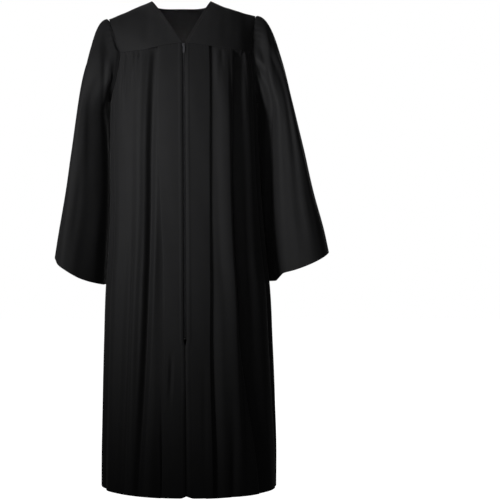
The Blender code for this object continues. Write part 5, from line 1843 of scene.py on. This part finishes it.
def zip_coil(sizes):
    """The coil: a row of turns from each tape, half a pitch apart, with heads past the middle."""
    ends = (SLIDER_Z + TEETH_ENDS[0], ZIP_BOTTOM_Z + TEETH_ENDS[1])
    line = strip_surface(0.0, 0.001, *ends, CHAIN_SET_BACK, rows=240, columns=2)
    points, along, up = spaced_along(line[:, 0], grid_normals(line)[:, 0], sizes.tooth_pitch)
    shape, faces = tooth_shape(CHAIN_HALF_WIDTH + TOOTH_REACH, sizes.tooth_wall, TOOTH_HEIGHT)
    rows = []
    for side in (-1, 1):
        across = np.cross(up, along) * side
        at = points + along * side * sizes.tooth_pitch / 4 + across * CHAIN_HALF_WIDTH
        rows.append(copies_at(at, -across, along, up, shape, faces))
    nylon = finish("coiled_nylon", coiled_nylon)
    return faces_outwards(mesh_object("zip_teeth", *joined(rows), nylon))


def zip_slider(metal):
    """The slider: two rounded plates, the post between them and the bridge over the front one."""
    front_at = SLIDER_FRONT + SLIDER_PLATE / 2
    back_at = -(SLIDER_BACK + SLIDER_PLATE / 2)
    front = plate_surface(SLIDER_WIDTH, SLIDER_LENGTH, SLIDER_PLATE, SLIDER_TAPER, SLIDER_DOME)
    back = plate_surface(SLIDER_WIDTH, SLIDER_LENGTH, SLIDER_PLATE, SLIDER_TAPER)
    post = plate_surface(POST_WIDTH, POST_LENGTH, front_at - back_at, power=2.6, steps=24)
    post_at = -(SLIDER_LENGTH - POST_LENGTH) / 2 + POST_BELOW_TOP
    rise = SLIDER_PLATE / 2 + BRIDGE_CLEAR + BRIDGE_WALL / 2
    arch = arch_surface(BRIDGE_WIDTH, BRIDGE_WALL, (BRIDGE_LENGTH - BRIDGE_WALL) / 2, rise)
    skins = [
        (front + (0.0, front_at, 0.0), False),
        (back + (0.0, back_at, 0.0), False),
        (post + (0.0, (front_at + back_at) / 2, post_at), False),
        (arch + (0.0, front_at, 0.0), False),
    ]
    return solid_object("zip_slider_body", [(on_slope(skin), both) for skin, both in skins], metal)


class GOWN_OT_stage(Operator):
    """Builds the floor, the lights, the white surroundings and the camera"""

    bl_idname = "gown.stage"
    bl_label = "Studio"

    def execute(self, context):
        stage = context.scene.gown_stage
        context.scene.view_settings.view_transform = "Standard"
        build_floor(stage)
        build_surroundings(stage)
        build_lights(stage)
        build_camera(stage)
        return {"FINISHED"}


def build_floor(stage):
    """A plain pale floor below the hem, evenly lit, that sends no light up to the cloth."""
    half, z = 9.0, HEM_Z - stage.floor_drop
    corners = [(-half, -half, z), (half, -half, z), (half, half, z), (-half, half, z)]
    made, tree, shader = new_material("pale_floor_paint")
    where = add_node(tree, "ShaderNodeTexCoord").outputs["Object"]
    grain = add_node(
        tree, "ShaderNodeTexNoise", {}, {"Scale": FLOOR_CELLS, "Detail": 3.0}, {"Vector": where}
    )
    shade = add_node(
        tree,
        "ShaderNodeMix",
        {"data_type": "RGBA"},
        {"A": linear("#F2F2F2"), "B": linear("#FAFAFA")},
        {"Factor": grain.outputs["Fac"]},
    )
    tree.links.new(shade.outputs["Result"], shader.inputs["Base Color"])
    tree.links.new(shade.outputs["Result"], shader.inputs["Emission Color"])
    shader.inputs["Emission Strength"].default_value = 1.1
    shader.inputs["Roughness"].default_value = 0.9
    floor = mesh_object("floor", np.array(corners), [(0, 1, 2, 3)], made)
    floor.visible_diffuse = False
    floor.visible_glossy = False


def build_surroundings(stage):
    """White all round for the eye, with a softer light of its own."""
    world = bpy.data.worlds.new("studio")
    bpy.context.scene.world = world
    world.use_nodes = True
    tree = world.node_tree
    background = tree.nodes["Background"]
    background.inputs["Color"].default_value = (1.0, 1.0, 1.0, 1.0)
    path = add_node(tree, "ShaderNodeLightPath")
    level = add_node(tree, "ShaderNodeMapRange", {}, {"To Min": stage.fill_level, "To Max": 1.0})
    tree.links.new(path.outputs["Is Camera Ray"], level.inputs["Value"])
    tree.links.new(level.outputs["Result"], background.inputs["Strength"])


def area_light(name, at, towards, size, power, spread=180.0):
    """A square soft light at a place, facing another, with its spread in degrees."""
    light = bpy.data.lights.new(name, "AREA")
    light.shape = "SQUARE"
    light.size = size
    light.energy = power
    light.spread = math.radians(spread)
    obj = bpy.data.objects.new(name, light)
    obj.location = at
    obj.rotation_euler = (Vector(towards) - Vector(at)).to_track_quat("-Z", "Y").to_euler()
    bpy.context.scene.collection.objects.link(obj)


def build_lights(stage):
    """A key light from the camera's left, a weak one over the camera, one into the neck and one
    behind."""
    area_light("key", (-1.95, -2.0, -0.5), (0.12, -0.1, -0.24), 0.6, stage.key_power, 42.0)
    area_light("front", (-0.15, -3.15, -0.35), (0.05, -0.1, -0.3), 0.6, stage.front_power, 35.0)
    area_light("neck", (0.05, -2.3, 1.0), (0.0, 0.03, -0.04), 0.08, stage.neck_power, 5.0)
    area_light("back", (1.0, 2.4, 0.2), (0.0, 0.0, -0.6), 2.0, stage.back_power)


def build_camera(stage):
    """A level camera in front, with the gown left of the middle."""
    data = bpy.data.cameras.new("camera")
    data.lens = stage.lens
    data.sensor_width = 36.0
    data.shift_x = stage.shift
    obj = bpy.data.objects.new("camera", data)
    obj.location = (0.0, -stage.camera_distance, stage.camera_height)
    obj.rotation_euler = (math.pi / 2, 0.0, 0.0)
    bpy.context.scene.collection.objects.link(obj)
    bpy.context.scene.camera = obj


class GOWN_PT_panel(Panel):
    """Lists the pieces, in the order in which they are built"""

    bl_idname = "GOWN_PT_panel"
    bl_label = "Graduation gown"
    bl_space_type = "VIEW_3D"
    bl_region_type = "UI"
    bl_category = "Gown"

    def draw(self, context):
        for operator in OPERATORS:
            self.layout.operator(operator.bl_idname)
        scene = context.scene
        for group in (scene.gown_cloth, scene.gown_zip, scene.gown_stage):
            for name in group.__annotations__:
                self.layout.prop(group, name)


OPERATORS = (
    GOWN_OT_yokes,
    GOWN_OT_fronts,
    GOWN_OT_back,
    GOWN_OT_sleeves,
    GOWN_OT_zip,
    GOWN_OT_stage,
)
CLASSES = (ClothSizes, ZipSizes, StageSizes, *OPERATORS, GOWN_PT_panel)


def register():
    """Registers the classes and hangs the sizes on the scene."""
    for cls in CLASSES:
        bpy.utils.register_class(cls)
    bpy.types.Scene.gown_cloth = PointerProperty(type=ClothSizes)
    bpy.types.Scene.gown_zip = PointerProperty(type=ZipSizes)
    bpy.types.Scene.gown_stage = PointerProperty(type=StageSizes)


def unregister():
    """Takes back what register did."""
    del bpy.types.Scene.gown_stage
    del bpy.types.Scene.gown_zip
    del bpy.types.Scene.gown_cloth
    for cls in reversed(CLASSES):
        bpy.utils.unregister_class(cls)


def main():
    """Builds everything in order."""
    register()
    for operator in OPERATORS:
        group, name = operator.bl_idname.split(".")
        getattr(getattr(bpy.ops, group), name)()


if __name__ == "__main__":
    main()
